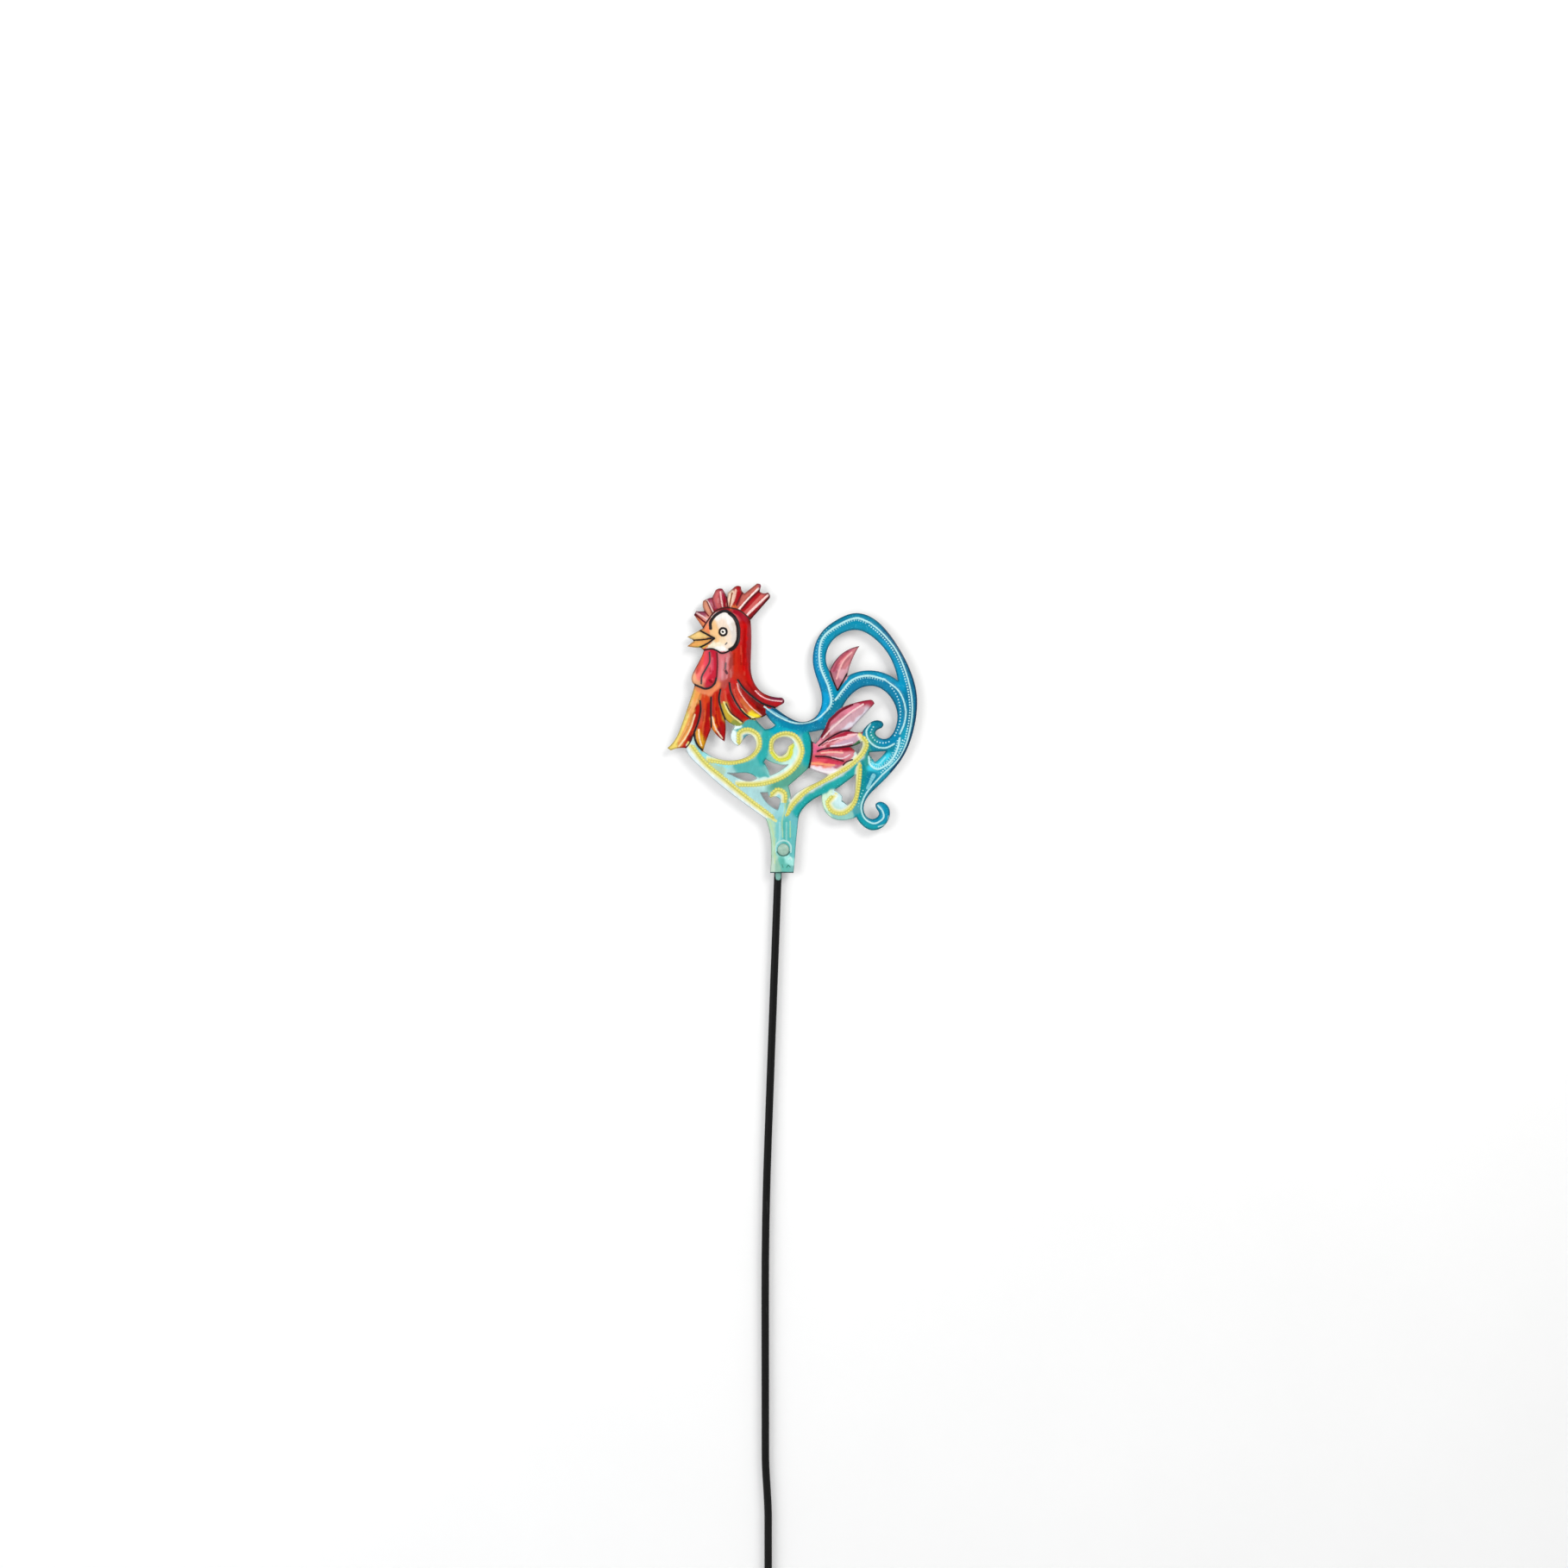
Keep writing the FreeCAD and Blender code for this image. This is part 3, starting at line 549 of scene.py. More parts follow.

# Dark lines: colour, half width, groove depth.
# painted shadow in an arc under the rivet head
INKS = tinted("""
# beak and eye
black 0.65 0.3: -64.5 202, -58.6 198.8, -53 195.8
black 0.65 0.3: -53 195.8, -58.4 191.8, -65 188.3
black 0.5 0.35: -71 194.3, -64 194.6, -56 195.6
soot 0.7 0: -58.5 195.6, -55 195.9
40 34 36 1.2 0.15: -56.2 204, -56.4 208.8, -53.6 213.6, -49 217.2, -44.6 218.7, -40 217
black 1.5 0.3: -41 217.4, -36 212.8, -33.4 206, -33 198.7, -34 192.6, -37.2 187.8, -40.5 185.9
black 0.6 0.3: -62 186, -55 187, -51 185.5, -47.5 183.5, -43.5 184, -40.5 185.6
70 34 30 0.5 0.2: -62.6 204.5, -57.8 211.7, -52.4 218.4, -45 221.2, -38 220.9, -31.7 218.9, -23 211.6
96 92 92 0.35 0: -44 190.5, -42.5 192
120 96 100 0.6 0.1: -43.5 175, -44 170.5
96 56 62 0.9 0.1: -43.6 168.6, -42.6 166.6
# comb edges and partings
112 16 30 0.6 0.2: -69 215.6, -65 212.4, -61 209.2
110 24 24 0.4 0.15: -59.2 226.4, -57 221.6, -55.2 217.4
150 70 40 0.5 0.1: -38.2 233.6, -39.4 228, -40.4 222.6
126 22 30 0.45 0.2: -61.4 218.4, -58 214.6
150 40 44 0.4 0.2: -55 229.6, -53 222
96 16 26 0.6 0.25: -43.2 232, -42.4 226, -41.8 221.6
110 12 22 0.6 0.25: -34.5 223.5, -31.6 230, -30 233.4
110 8 18 0.8 0.25: -30 220.5, -22.6 229, -15.6 235.6
110 8 18 0.6 0.2: -22.4 212.6, -14.4 221.4, -7.2 230.4
# wattle
soot 0.6 0.3: -57.2 184, -57 176.5, -60 170.5, -63.5 164, -64 158
40 34 38 0.75 0.3: -69.5 157, -64.5 155, -61 153.8, -57 154.5, -53 158, -51.3 163
104 26 34 0.55 0.3: -51 183.4, -50.5 176, -50.8 168, -51.2 163
120 66 60 0.4 0.2: -62.4 185, -66 177, -70.6 168
150 20 30 0.9 0: -57 160.6, -55.4 159.4
# slits between the hackle feathers
black 0.65 0.4: -65 143.5, -64.5 136, -66 128, -69.5 118
black 0.75 0.4: -69.9 117.6, -69.3 112, -67 106.5, -63.4 102.6
black 0.6 0.4: -55.8 146.5, -56 136, -55.6 122
black 0.65 0.4: -48 153, -49.2 145, -47 136, -44 128
60 24 22 0.45 0.3: -43.4 141, -39.4 133.6, -33.6 129, -29.6 126
black 0.7 0.4: -40.5 158.5, -39.5 152, -37.5 147, -34 140.5, -29 134, -23 129
black 0.75 0.4: -33.5 161, -29.5 155, -24 149.5, -18 144.5, -12 141, -2.4 137.9
40 30 30 0.5 0.2: -21.5 128.4, -15 129, -10 131.6
50 22 26 0.4 0.2: -76.6 104.6, -73 109.6, -70.2 117
# leaf and fan
black 0.5 0.15: 43.5 168, 46 161, 49.5 152.4
black 0.6 0.15: 57.5 166, 54 159.6, 50 152.6
96 22 36 0.45 0: 43.8 170.4, 48.8 178.6, 57 186.2, 67.4 189.4
maroon 0.6 0.35: 34.2 106.3, 40 110.5, 48 115.5, 55 118.4, 62 118.8
122 18 42 0.9 0.2: 36.6 113.6, 40.2 120.4, 44 128, 52.6 135.4, 62 140.4
maroon 0.55 0.35: 33 101.5, 37 103, 45 104.3, 55 105, 62 106.2
maroon 0.55 0.35: 31.5 97.3, 40 97, 47 95.5, 54.5 93.3
70 24 40 0.5 0.2: 54.5 90, 57 92.5, 62 94.5
black 0.75 0.3: 28.3 110, 28.3 101, 27.3 94, 26 88
# shadowed edges of the teal parts
0 84 122 0.45 0: -5 137.4, 4 131.6, 19 126.4, 30 129, 36 138
0 84 124 0.8 0: 88 205, 99 190.6, 110 169.4, 115.2 150, 114.8 131.6, 110.6 113, 104 98, 94 84.6
60 130 130 0.3 0: 53.4 60, 57 57.6
60 130 116 0.3 0: 7.2 4.6, 8.6 6.4
60 130 116 0.25 0: 8.6 6.2, 10.2 5
80 140 126 0.25 0: 3.4 7, 4.2 4.6
46 92 88 0.45 0: -6.3 0.3, -1 0.2, 4 0.5, 9 0.3, 12.9 0.4
70 118 108 0.4 0: -0.7 17.6, 1 15.2, 4.5 14.2, 8 15.2, 9.7 17.6
52 108 112 0.35 0: 15.2 19.4, 15.5 23.2
""")

# Centre lines of the feathers: the width that loose brush streaks spread over.
FEATHERS = [(float(words[0]), points) for words, points in table("""
5: -66 150, -72 134, -79 118, -86 107
3.6: -66 134, -71 120, -77 108
3.4: -60.4 148, -60.6 132, -62.6 118, -63.4 108
3.2: -52 150, -51.6 134, -49.4 122, -46.4 112
3.4: -44 156, -42.6 144, -38 133, -32 126
3.2: -37 158, -34.4 147, -29 138, -22 130.6
3.2: -33 156, -27 147, -20 139.6, -13 133
3.2: -26 160, -19 151.4, -10 145, 0 142.6
6: -29 206, -29 190, -29 175, -30 160
4: -37.4 184, -38 172, -38.6 160
5: -45 181, -45.6 170, -46 160
5: -60 152, -60 146
2.6: -56 181, -55.6 171, -57 162
3: -64 182, -67 172, -69 164
3: -21 234, -30 223
3: -13 229, -23 216
2.6: -36 234, -37 223
3: -49 233, -48 223
3.4: 40 117, 52 128, 66 138
3: 38 107, 52 111, 64 114
2.6: 36 100, 48 100, 58 101
3: 31 91, 42 90, 52 90
3: 49 164, 53 174, 62 184
""")]

# Rows of small punched dots beside ridges: colour, radius, pitch.
DOTS = tinted("""
190 242 246 0.6 2.6: 93 157, 99.4 147.4, 102.2 135, 101 122.6, 97 113.6
190 242 246 0.6 2.6: 104.4 112, 100 99, 92.6 89.4
150 226 232 0.5 2.8: 66.6 54, 68.4 62, 71.4 70
190 242 246 0.6 2.5: 80.2 123, 77.4 117, 80.6 111, 87 108.4, 94.6 110
150 226 232 0.5 2.6: 96 101.4, 91 94, 84 89.6
130 214 228 0.45 2.8: 34.6 168, 31.8 182, 35 196, 43 205.6
""")

# ---------------------------------------------------------------- sizes of relief and paint

EDGE_STEP = 0.55               # spacing of the points along every cut edge
FINE_STEP = 0.42               # and of the grids: near drawn lines,
COARSE_STEP = 0.85             # away from them,
BACK_STEP = 1.5                # and on the back
RIDGE_REACH = 2.2              # how far the fine grid goes beside ridges,
LINE_REACH = 1.3               # strokes and lines,
DOT_REACH = 1.4                # and dots
FINE_CLEAR = 0.24              # how far each grid stays from the points on the cut edges
COARSE_CLEAR = 0.45
BACK_CLEAR = 0.6
GRID_GAP = 0.5                 # and the coarse grid from the fine one
HOLE_R = 2.05                  # rivet hole
SEAT_R = 5.0                   # flat seat round it, and the width of the slope up from it
SEAT_SLOPE = 3.0

TEAL_HIGH = 0.6                # how far the middle of an area is puffed up: teal straps,
FACE_HIGH = 0.8                # the face,
PUFF_HIGH = 1.05               # and the other areas
PUFF_WIDE = 3.6                # how far from its edge an area rises
PARTING = 0.18                 # a dark line deeper than this is such an edge
UNEVEN_HIGH = 0.12             # slow unevenness of the hammered sheet
UNEVEN_WIDE = 7
SHOULDER = 0.27                # fall of the sheet towards its cut edges
SHOULDER_WIDE = 1.1
MIDRIB_WIDE = 1.0              # midribs under pale strokes
GROOVE_WIDE = 0.6              # grooves under dark lines
DOT_HIGH = 0.25                # punched dots and beads
DOT_WIDE = 0.9
FRONT_RANGE = (-0.35, 2.15)    # lowest and highest point of the front's relief
BACK_SHARE = 0.8               # share of the relief that shows on the back
BACK_HIGH = 1.5
BACK_FLAT = (-9, 20, 46)       # flat part of the back: left, right and top
RIDGE_HEIGHT = 0.85
RIDGE_HALF = 1.65
FLUTE_SIZE = 0.55              # height of a flute, as a share of the other ridges'
ROPE_DEPTH = 0.32              # how much of a roped ridge's height its turns cut in
BEAD_PITCH = 2.3               # beads along a roped ridge
BEAD_R = 1.2
BEAD_SHIFT = 0.5               # how far they sit from its middle
CREAM_REACH = 5.0              # width of the cream band beside them
TICK_PITCH = 2.2               # teeth along the pale ridges, and dots beside the dotted ones
TOOTH = (-0.2, -1.9)           # the teeth's ends, left of the ridge
DOTS_ASIDE = 2.1
ASIDE_R = 0.62
CHANNEL_R = 4.2                # outside radius of the channel over the rod
CHANNEL_HALF = 6               # half width of the strip that it runs in
CHANNEL_TOP = 27
CHANNEL_STRAIGHT = 4.0
CHANNEL_FALL = 0.09            # the channel gets shallower upward
CHANNEL_LEAN = 0.105           # and leans with the rod
STRIP_LOW = 0.04               # lowest the sheet gets beside it
FILLET = 0.25                  # fillet where it meets the sheet

# Kinds of ridge: half width, colour and cover of their paint.
OLIVE = (204, 194, 80)
RIDGE_PAINT = {
    "pale": (0.85, PALE, 0.9),
    "line": (0.7, PALE, 0.85),
    "dotted": (0.7, PALE, 0.85),
    "flute": (0.55, (196, 222, 150), 0.6),
    "yellow left": (1.4, OLIVE, 0.9),
    "yellow right": (1.4, OLIVE, 0.9),
    "lemon left": (1.4, (202, 210, 22), 0.9),
}
# The roped kinds: side of the cream band (1 is left of the ridge's travel), and the beads.
YELLOW = (247, 240, 118)
ROPES = {"yellow left": (1, YELLOW), "yellow right": (-1, YELLOW), "lemon left": (1, (238, 236, 60))}
# Weight of the distance to a cut edge: the smaller, the broader the dark edge, which is partly outline and
# partly painted shade.
RIM = {"comb": 0.36, "teal": 1.0}
RIM_OTHER = 0.52
RIM_BLUE = 0.42

EYE = (-45.8, 201.2)
EYE_R = 3.05                   # of the dark ring
STREAK_SEED = 7
STREAKS_PER_MM = 1.6           # of the width that they spread over
STREAK_COVER = 0.4
WASH_WOBBLE = 0.8              # how far the borders between washes wander
WASH_FALL = 2.4                # the higher, the sharper the borders
BARE = 9.0                     # "far from any stroke", for the back

# ---------------------------------------------------------------- strokes


class Strokes:
    """Smooth strokes that can be searched for the one nearest to a spot."""

    def __init__(self, lines):
        spots, owner, along = [], [], []
        for i, points in enumerate(lines):
            line = smooth(points)
            spots.append(line)
            owner.append(np.full(len(line), i))
            along.append(arc_length(line))
        self.spots = np.vstack(spots)
        self.owner = np.concatenate(owner)
        self.along = np.concatenate(along)
        self.tree = tree_of(self.spots)

    def near(self, spots):
        """Distance to the nearest stroke, the stroke's number, and the number of its spot."""
        far, which = nearest(self.tree, spots)
        return far, self.owner[which], which


def arc_length(line):
    """Length along a line up to each of its points."""
    return np.concatenate([[0], np.cumsum(np.hypot(*np.diff(line, axis=0).T))])


def leftward(line):
    """Unit vectors to the left of a line's travel at each of its points."""
    slope = np.gradient(line, axis=0)
    slope /= np.maximum(np.hypot(slope[:, 0], slope[:, 1]), 1e-9)[:, None]
    return np.column_stack([-slope[:, 1], slope[:, 0]])


def offset(points, shift):
    """The smooth line through the points, moved sideways; left of its travel is positive."""
    line = smooth(points)
    return line + leftward(line) * shift


def ticks(points, pitch, start, end):
    """Short strokes across a line, from start to end millimetres to its left."""
    line = smooth(points, 0.2)
    along = arc_length(line)
    left = leftward(line)
    out = []
    for s in np.arange(pitch, along[-1] - pitch / 2, pitch):
        k = int(np.searchsorted(along, s))
        out.append([line[k] + left[k] * start, line[k] + left[k] * end])
    return out


def row_of_dots(points, pitch):
    """Places every pitch millimetres along a smooth line."""
    line = smooth(points, 0.1)
    along = arc_length(line)
    return [line[int(np.searchsorted(along, s))] for s in np.arange(pitch / 2, along[-1], pitch)]


def drawn_strokes():
    """Pale strokes, dark lines and dots, with those that the ridges and the eye bring along."""
    turns = np.linspace(0, 2 * np.pi, 25)
    ring = [(EYE[0] + EYE_R * math.cos(a), EYE[1] + EYE_R * math.sin(a)) for a in turns]
    pupil = [(EYE[0] - 0.5, EYE[1]), (EYE[0] - 0.1, EYE[1] - 0.1)]
    inks = INKS + [(COLOURS["black"], 0.8, 0.1, ring), (COLOURS["black"], 0.75, 0.1, pupil)]
    lights = list(LIGHTS)
    dots = [(place, size, tint) for tint, size, pitch, points in DOTS
            for place in row_of_dots(points, pitch)]
    for points, kind in RIDGES:
        if kind in ROPES:
            side, tint = ROPES[kind]
            beads = offset(points, -BEAD_SHIFT * side)[::8]
            dots += [(place, BEAD_R, tint) for place in row_of_dots(beads, BEAD_PITCH)]
        elif kind == "pale":
            lights += [(PALE, 0.4, 0.75, 0, tooth) for tooth in ticks(points, TICK_PITCH, *TOOTH)]
        elif kind == "dotted":
            beside = offset(points, -DOTS_ASIDE)[::8]
            dots += [(place, ASIDE_R, PALE) for place in row_of_dots(beside, TICK_PITCH)]
    return lights, inks, dots


def brush_streaks(random):
    """Loose thin streaks along the feathers, as (lighter or darker, half width, line)."""
    out = []
    for width, points in FEATHERS:
        line = smooth(points, 0.5)
        for _ in range(max(3, int(width * STREAKS_PER_MM))):
            length = random.uniform(0.2, 0.55)
            start = random.uniform(0, 1 - length)
            piece = line[int(start * len(line)):int((start + length) * len(line))]
            if len(piece) < 4:
                continue
            shift = random.uniform(-0.5, 0.5) * width
            out.append((random.random() < 0.5, random.uniform(0.25, 0.5), offset(piece[::3], shift)[::4]))
    return [streak for streak in out if len(streak[2]) > 2]


def column(entries, k):
    """Item k of every entry, as an array."""
    return np.array([entry[k] for entry in entries])


class Drawing:
    """All that is drawn on the sheet, ready to be searched."""

    def __init__(self, loops):
        self.lights, self.inks, self.dots = drawn_strokes()
        self.edge_tree = tree_of(np.vstack(loops))
        self.dot_tree = tree_of([place for place, _, _ in self.dots])
        self.light = Strokes([points for *_, points in self.lights])
        self.ink = Strokes([points for *_, points in self.inks])
        self.ridge = Strokes([points for points, _ in RIDGES])
        self.ridge_left = np.vstack([offset(points, 1.0) for points, _ in RIDGES]) - self.ridge.spots

    def survey(self, spots):
        """What lies at and near each spot: area, cut edge, ridge, pale stroke and dark line."""
        edge_far, _ = nearest(self.edge_tree, spots)
        far, owner, which = self.ridge.near(spots)
        kinds = np.array([kind for _, kind in RIDGES])[owner]
        left = np.einsum("ij,ij->i", spots - self.ridge.spots[which], self.ridge_left[which])
        ridge = {"far": far, "kind": kinds, "roped": np.isin(kinds, list(ROPES)), "left": left,
                 "along": self.ridge.along[which], "size": np.where(kinds == "flute", FLUTE_SIZE, 1.0)}
        far, owner, _ = self.light.near(spots)
        light = {"far": far, "owner": owner, "rib": column(self.lights, 3)[owner]}
        far, owner, _ = self.ink.near(spots)
        ink = {"far": far, "owner": owner, "depth": column(self.inks, 2)[owner]}
        return {"edge": edge_far, "area": area_numbers(spots), "ridge": ridge, "light": light, "ink": ink}


# ---------------------------------------------------------------- grids of spots


def area_numbers(spots):
    """Number of the area that each spot belongs to; the teal parts come last."""
    number = np.full(len(spots), len(AREAS))
    for i, (_, loop) in reversed(list(enumerate(AREAS))):
        number[inside(loop, spots)] = i
    return number


def in_sheet(loops, spots):
    """Whether each spot lies in the sheet, outside its openings."""
    found = inside(loops[0], spots)
    for loop in loops[1:]:
        found &= ~inside(loop, spots)
    return found


def grid(loops, step):
    """Spots spread evenly, in staggered rows, over the sheet."""
    edges = np.vstack(loops)
    (left, low), (right, high) = edges.min(0), edges.max(0)
    rows = []
    for i, z in enumerate(np.arange(low, high, step * 0.866)):
        x = np.arange(left + (i % 2) * step / 2, right, step)
        rows.append(np.column_stack([x, np.full(len(x), z)]))
    spots = np.vstack(rows)
    return spots[in_sheet(loops, spots)]


def triangulate(loops, inner):
    """Spots and triangles that fill the sheet, keeping every loop as an edge."""
    spots = np.vstack(loops + [inner])
    edges = []
    start = 0
    for loop in loops:
        n = len(loop)
        edges += [(start + k, start + (k + 1) % n) for k in range(n)]
        start += n
    result = geometry.delaunay_2d_cdt([Vector(p) for p in spots], edges, [], 0, 1e-5)
    places = np.array([(v.x, v.y) for v in result[0]])
    faces = np.array([f for f in result[2] if len(f) == 3])
    keep = in_sheet(loops, places[faces].mean(axis=1))
    return places, faces[keep]


def front_grid(loops, drawing):
    """The front's spots and triangles, close together near lines and wider apart elsewhere."""
    fine = grid(loops, FINE_STEP)
    fine = fine[nearest(drawing.edge_tree, fine)[0] > FINE_CLEAR]
    wanted = np.zeros(len(fine), bool)
    for tree, reach in ((drawing.ridge.tree, RIDGE_REACH), (drawing.ink.tree, LINE_REACH),
                        (drawing.light.tree, LINE_REACH), (drawing.dot_tree, DOT_REACH)):
        left = np.where(~wanted)[0]
        wanted[left] = nearest(tree, fine[left])[0] < reach
    fine = fine[wanted]
    coarse = grid(loops, COARSE_STEP)
    coarse = coarse[nearest(drawing.edge_tree, coarse)[0] > COARSE_CLEAR]
    coarse = coarse[nearest(tree_of(fine), coarse)[0] > GRID_GAP]
    return triangulate(loops, np.vstack([fine, coarse]))


def back_grid(loops, drawing):
    """The plainer back's spots and triangles."""
    plain = grid(loops, BACK_STEP)
    return triangulate(loops, plain[nearest(drawing.edge_tree, plain)[0] > BACK_CLEAR])


# ---------------------------------------------------------------- relief


def wavy(spots, scale, seed):
    """Slow random variation, about -1 to 1, at each spot."""
    return np.array([noise.noise(Vector((x / scale, seed, z / scale))) for x, z in spots]) * 1.6


def hill(far, radius):
    """A round hill of height 1 and the given radius."""
    return np.clip(1 - (far / radius) ** 2, 0, 1)


def relief(spots, facts):
    """Height hammered up at each spot."""
    ridge, light, ink, area = (facts[key] for key in ("ridge", "light", "ink", "area"))
    parting_far = np.where(ink["depth"] > PARTING, ink["far"], np.inf)
    clear = np.minimum(facts["edge"], parting_far)
    high = np.where(area == len(AREAS), TEAL_HIGH, PUFF_HIGH)
    high = np.where(area == FACE, FACE_HIGH, high)
    height = high * (1 - np.exp(-(clear / PUFF_WIDE) ** 2))
    # round ridges, roped where they carry beads
    rope = 1 - ROPE_DEPTH / 2 - ROPE_DEPTH / 2 * np.cos(2 * np.pi * ridge["along"] / BEAD_PITCH)
    rope = np.where(ridge["roped"], rope, 1)
    height += RIDGE_HEIGHT * ridge["size"] * rope * hill(ridge["far"], RIDGE_HALF) ** 1.5
    # midribs under the pale strokes, grooves under the dark lines
    height += light["rib"] * np.exp(-(light["far"] / MIDRIB_WIDE) ** 2)
    height -= ink["depth"] * np.exp(-(ink["far"] / GROOVE_WIDE) ** 2)
    height += UNEVEN_HIGH * wavy(spots, UNEVEN_WIDE, 3.1) * ease(facts["edge"] / 3)
    return height


def front_height(front, facts, dot_far):
    """Height of the front: relief and dots, a shoulder at each cut edge, rivet seat and channel."""
    height = relief(front, facts)
    height += DOT_HIGH * hill(dot_far, DOT_WIDE)
    height -= SHOULDER * (1 - ease(facts["edge"] / SHOULDER_WIDE))
    seat = np.hypot(front[:, 0] - RIVET_X, front[:, 1] - RIVET_Z)
    height *= ease((seat - SEAT_R) / SEAT_SLOPE)
    rise = np.clip(front[:, 1] - CHANNEL_STRAIGHT, 0, None)
    bore = np.clip(CHANNEL_R - CHANNEL_FALL * rise, 0, None)
    aside = front[:, 0] - CHANNEL_LEAN * front[:, 1]
    channel = np.sqrt(np.clip(bore ** 2 - aside ** 2, 0, None)) + SHEET_FRONT
    strip = (front[:, 1] < CHANNEL_TOP) & (np.abs(aside) < CHANNEL_HALF)
    height[strip] = np.maximum(height[strip], STRIP_LOW)
    fillet = FILLET * np.exp(-((height - channel) / 0.35) ** 2) * (channel > -0.6)
    return np.clip(np.maximum(height, channel) + fillet, *FRONT_RANGE)


def back_height(back, facts):
    """The same relief seen from behind, shallower, and flat on the tab."""
    height = relief(back, facts) * BACK_SHARE
    left, right, top = BACK_FLAT
    height[(back[:, 1] < top) & (back[:, 0] > left) & (back[:, 0] < right)] = 0
    return np.clip(height * ease(facts["edge"] / 2.5), 0, BACK_HIGH)


def turned(spots, faces, sign):
    """The triangles with their corners in the order that faces forward (1) or backward (-1)."""
    a, b, c = faces.T
    area = ((spots[b, 0] - spots[a, 0]) * (spots[c, 1] - spots[a, 1])
            - (spots[b, 1] - spots[a, 1]) * (spots[c, 0] - spots[a, 0]))
    return [tuple(f) if s * sign > 0 else (f[0], f[2], f[1]) for f, s in zip(faces.tolist(), area)]


def walls(front, front_faces, back):
    """Quads between front and back, along the edges that only one front triangle uses.

    Five spots of the front's grid lie on the tab's straight bottom edge.  The ten edges of
    about 0.26 mm that they leave there have no partner behind and get no wall.
    """
    open_edges = {}
    for f in front_faces:
        for p, q in ((f[0], f[1]), (f[1], f[2]), (f[2], f[0])):
            if (q, p) in open_edges:
                del open_edges[(q, p)]
            else:
                open_edges[(p, q)] = True
    behind = {(round(x, 3), round(z, 3)): i + len(front) for i, (x, z) in enumerate(back)}
    partner = [behind.get((round(x, 3), round(z, 3))) for x, z in front]
    return [(q, p, partner[p], partner[q]) for p, q in open_edges if partner[p] and partner[q]]


def sheet_mesh(front, front_faces, front_up, back, back_faces, back_up):
    """One mesh from the two sides and the walls between them."""
    verts = [((x + TAB_X) * MM, (SHEET_FRONT - h) * MM, (z + TAB_Z) * MM)
             for (x, z), h in zip(front, front_up)]
    verts += [((x + TAB_X) * MM, (SHEET_BACK - h) * MM, (z + TAB_Z) * MM)
              for (x, z), h in zip(back, back_up)]
    ahead = turned(front, front_faces, 1)
    behind = [tuple(len(front) + k for k in f) for f in turned(back, back_faces, -1)]
    mesh = bpy.data.meshes.new("rooster_panel_painted")
    mesh.from_pydata(verts, [], ahead + behind + walls(front, ahead, back))
    mesh.validate()
    mesh.update()
    mesh.shade_smooth()
    mesh.set_sharp_from_angle(angle=math.radians(50))
    return mesh


# ---------------------------------------------------------------- paint on the spots


def washed(front, area):
    """Colour of each spot, blended from its area's washes."""
    colour = np.zeros((len(front), 3))
    for i, name in enumerate(AREA_NAMES):
        here = np.where(area == i)[0]
        wobble = np.column_stack([wavy(front[here], 4, 7.7), wavy(front[here], 4, 2.3)]) * WASH_WOBBLE
        spots = front[here] + wobble
        total = np.zeros((len(here), 3))
        weight = np.zeros(len(here))
        for tint, points in WASHES[name]:
            line = smooth(points, 1.0) if len(points) > 1 else np.array(points, float)
            far2 = np.full(len(here), 1e9)
            for p in line:
                far2 = np.minimum(far2, ((spots - p) ** 2).sum(1))
            near = 1 / (far2 + 0.5) ** WASH_FALL
            total += near[:, None] * np.array(linear(*tint))
            weight += near
        colour[here] = total / weight[:, None]
    return colour


def streaked(colour, front, area):
    """The colours with loose streaks in them, lighter or darker than the paint below."""
    streaks = brush_streaks(np.random.default_rng(STREAK_SEED))
    far, owner, _ = Strokes([line for _, _, line in streaks]).near(front)
    amount = (1 - ease((far - column(streaks, 1)[owner]) / 0.8))[:, None] * STREAK_COVER
    amount[area >= len(AREAS)] = 0
    lighter = column(streaks, 0)[owner][:, None]
    toward = np.where(lighter, colour ** 0.45 * 0.9, colour * 0.35)
    return colour * (1 - amount) + toward * amount


def creamed(colour, ridge):
    """The colours with a soft cream band beside the beads, on the side of the white band."""
    inner = ridge["left"] * np.where(ridge["kind"] == "yellow right", -1, 1)
    zone = (ridge["roped"] & (ridge["far"] < CREAM_REACH + 0.3)) * 0.9
    cream = (zone * ease((CREAM_REACH - inner) / 2.4) * ease((inner + 0.6) / 1.2))[:, None]
    paler = ease((inner - 1.6) / 2.2)[:, None]
    band = np.array(linear(*CREAM)) * (1 - paler) + np.array(linear(*IVORY)) * paler
    return colour * (1 - cream) + band * cream


